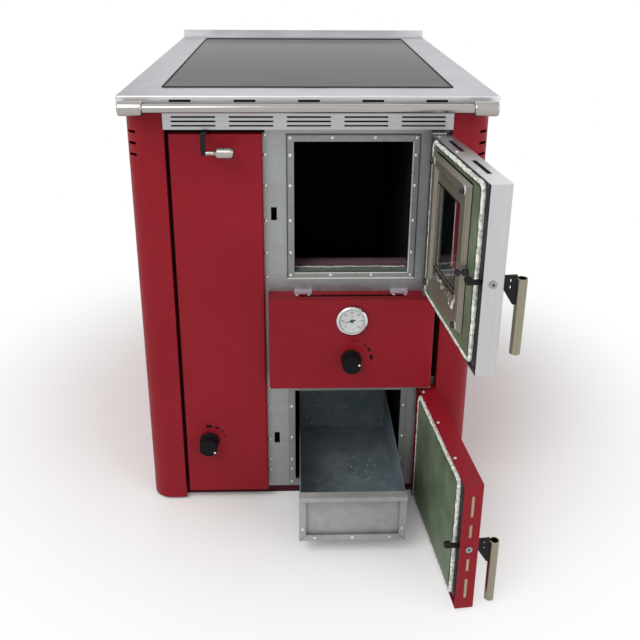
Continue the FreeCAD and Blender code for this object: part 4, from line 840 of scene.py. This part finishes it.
def dial_numbers():
    """Numbers of the dial from Blender's own letters: made a mesh, then laid on the dial with x right and y up."""
    readings = range(0, DIAL_TOP_READING + 1, 20)
    words = [(str(reading), dial_angle(reading), NUMBER_RADIUS, NUMBER_SIZE) for reading in readings]
    words.append(("°C", FULL_TURN / 4, UNIT_RADIUS, UNIT_SIZE))
    points, faces, start = [], [], 0
    for text, angle, radius, size in words:
        curve = bpy.data.curves.new("dial_word", "FONT")
        curve.body = text
        curve.size = size
        curve.align_x, curve.align_y = "CENTER", "CENTER"
        curve.resolution_u = 3
        holder = bpy.data.objects.new("dial_word", curve)
        flat = bpy.data.meshes.new_from_object(holder)
        local = np.empty(len(flat.vertices) * 3)
        flat.vertices.foreach_get("co", local)
        local = local.reshape(-1, 3)
        points.append(np.stack([
            GAUGE[0] + radius * math.cos(angle) + local[:, 0],
            np.full(len(local), DIAL_FACE - DIAL_LIFT),
            GAUGE[1] + radius * math.sin(angle) + local[:, 1],
        ], -1))
        faces += [[start + corner for corner in face.vertices] for face in flat.polygons]
        start += len(local)
        bpy.data.objects.remove(holder)
        bpy.data.curves.remove(curve)
        bpy.data.meshes.remove(flat)
    mesh = bpy.data.meshes.new("dial_numbers")
    mesh.from_pydata((np.concatenate(points) * MM).tolist(), [], faces)
    placed("dial_numbers", mesh, "stove", PRINT_BLACK)


front_fixings()
trim_folds()
shadow_paint()
rear_fixings()
door_fixings()
drawer_fixings()
ash_edge_liner()
slot_shadow()
window_soot()
sill_putty()
sill_brick()
hob_bead()
foil_scraps()
door_rope("fire_door_rope", "fire_door_gasket", "fire_door", low=(-49, 490), high=(215, 783))
door_rope("ash_door_rope", "ash_door_gasket", "ash_door", low=(-49, 18), high=(215, 261))
scale_dashes("control_scale", CONTROL_KNOB, CONTROL_FACE, radius=40.0, dashes=CONTROL_DASHES)
scale_dashes("left_scale", LEFT_KNOB, PANEL_FACE, radius=34.0, dashes=LEFT_DASHES)
knob_dots()
heads("needle_hub", [(GAUGE[0], NEEDLE_FACE, GAUGE[1])], FRONT, HUB, "needle", KNOB, sides=20)
dial_ticks()
dial_numbers()


# Camera, light and floor

# Fitted to the photograph: place in mm, angles in degrees
CAMERA_PLACE = (-22, -1796, 1114)
PITCH, YAW, ROLL = (math.radians(angle) for angle in (20.40, -1.82, 0.41))
FOCAL_PIXELS = 776.0
IMAGE_PIXELS = 640.0
SENSOR = 36.0
LENS_SHIFT = -0.14
CLIP_START, CLIP_END = 0.05, 100

# In metres and watts; the floor's own colour ends between the two distances of its fade
SKY_STRENGTH = 0.56
LAMPS = [
    ("key", (-1.6, -2.3, 3.1), (0, -0.3, 0.45), 2.2, 70),
    ("fill", (2.4, -2.2, 1.6), (0, -0.3, 0.4), 2.4, 28),
    ("back", (0.2, 2.4, 2.4), (0, 0.2, 0.4), 2.4, 10),
]
FLOOR_HALF = 9.0
FADE_START, FADE_END = 0.42, 1.05


def set_camera():
    """Camera axes from yaw, then pitch, then roll; the lens from the focal length in pixels."""
    level = np.array([-math.sin(YAW), math.cos(YAW), 0])
    side = np.array([math.cos(YAW), math.sin(YAW), 0])
    top = np.array([0, 0, 1.0])
    ahead = math.cos(PITCH) * level - math.sin(PITCH) * top
    rise = math.sin(PITCH) * level + math.cos(PITCH) * top
    right = math.cos(ROLL) * side + math.sin(ROLL) * rise
    upward = -math.sin(ROLL) * side + math.cos(ROLL) * rise
    data = bpy.data.cameras.new("camera")
    data.sensor_width = SENSOR
    data.lens = FOCAL_PIXELS / IMAGE_PIXELS * SENSOR
    data.shift_y = LENS_SHIFT
    data.clip_start, data.clip_end = CLIP_START, CLIP_END
    camera = bpy.data.objects.new("camera", data)
    matrix = Matrix((right, upward, -ahead)).transposed().to_4x4()
    matrix.translation = Vector(CAMERA_PLACE) * MM
    camera.matrix_world = matrix
    bpy.context.scene.collection.objects.link(camera)
    bpy.context.scene.camera = camera


def lamp(name, place, target, size, watts):
    """A soft square lamp at place that faces target, in metres."""
    data = bpy.data.lights.new(name, "AREA")
    data.shape = "SQUARE"
    data.size = size
    data.energy = watts
    made = bpy.data.objects.new(name, data)
    made.location = place
    made.rotation_euler = (Vector(target) - Vector(place)).to_track_quat("-Z", "Y").to_euler()
    bpy.context.scene.collection.objects.link(made)


def white_seen(tree):
    """1 where a ray from the camera, a mirror or a glass sees the surface, else 0."""
    path = add(tree, "LightPath")
    both = add(tree, "Math", {
        0: path.outputs["Is Camera Ray"], 1: path.outputs["Is Glossy Ray"],
    }, operation="MAXIMUM")
    return add(tree, "Math", {
        0: both.outputs["Value"], 1: path.outputs["Is Transmission Ray"],
    }, operation="MAXIMUM").outputs["Value"]


def set_world():
    """An even pale sky for the light, white where it is seen directly or in a reflection."""
    world = bpy.data.worlds.new("studio")
    bpy.context.scene.world = world
    world.use_nodes = True
    tree = world.node_tree
    tree.nodes.clear()
    level = add(tree, "MapRange", {"Value": white_seen(tree), "To Min": SKY_STRENGTH, "To Max": 1.0})
    sky = add(tree, "Background", {"Color": linear("#FFFFFF"), "Strength": level.outputs["Result"]})
    add(tree, "OutputWorld", {"Surface": sky.outputs["Background"]})


def set_floor():
    """A pale floor that fades to the white of the sky away from the stove, where no shadow falls."""
    mesh = bpy.data.meshes.new("floor")
    corners = [(x * FLOOR_HALF, y * FLOOR_HALF, 0) for x, y in ((-1, -1), (1, -1), (1, 1), (-1, 1))]
    mesh.from_pydata(corners, [], [(0, 1, 2, 3)])
    floor = bpy.data.objects.new("floor", mesh)
    bpy.context.scene.collection.objects.link(floor)
    material, tree, place = begin("pale_floor")
    distance = add(tree, "VectorMath", {0: place}, operation="LENGTH")
    far = add(tree, "MapRange", {
        "Value": distance.outputs["Value"], "From Min": FADE_START, "From Max": FADE_END,
    }, interpolation_type="SMOOTHSTEP")
    matter = add(tree, "BsdfDiffuse", {"Color": linear("#F4F4F3")})
    white = add(tree, "Emission", {"Color": linear("#FFFFFF"), "Strength": 1.0})
    share = add(tree, "Math", {0: far.outputs["Result"], 1: white_seen(tree)}, operation="MULTIPLY")
    mixed = add(tree, "MixShader", {
        0: share.outputs["Value"], 1: matter.outputs["BSDF"], 2: white.outputs["Emission"],
    })
    add(tree, "OutputMaterial", {"Surface": mixed.outputs["Shader"]})
    mesh.materials.append(material)


set_camera()
set_world()
for row in LAMPS:
    lamp(*row)
set_floor()

bpy.context.scene.view_settings.view_transform = "Standard"
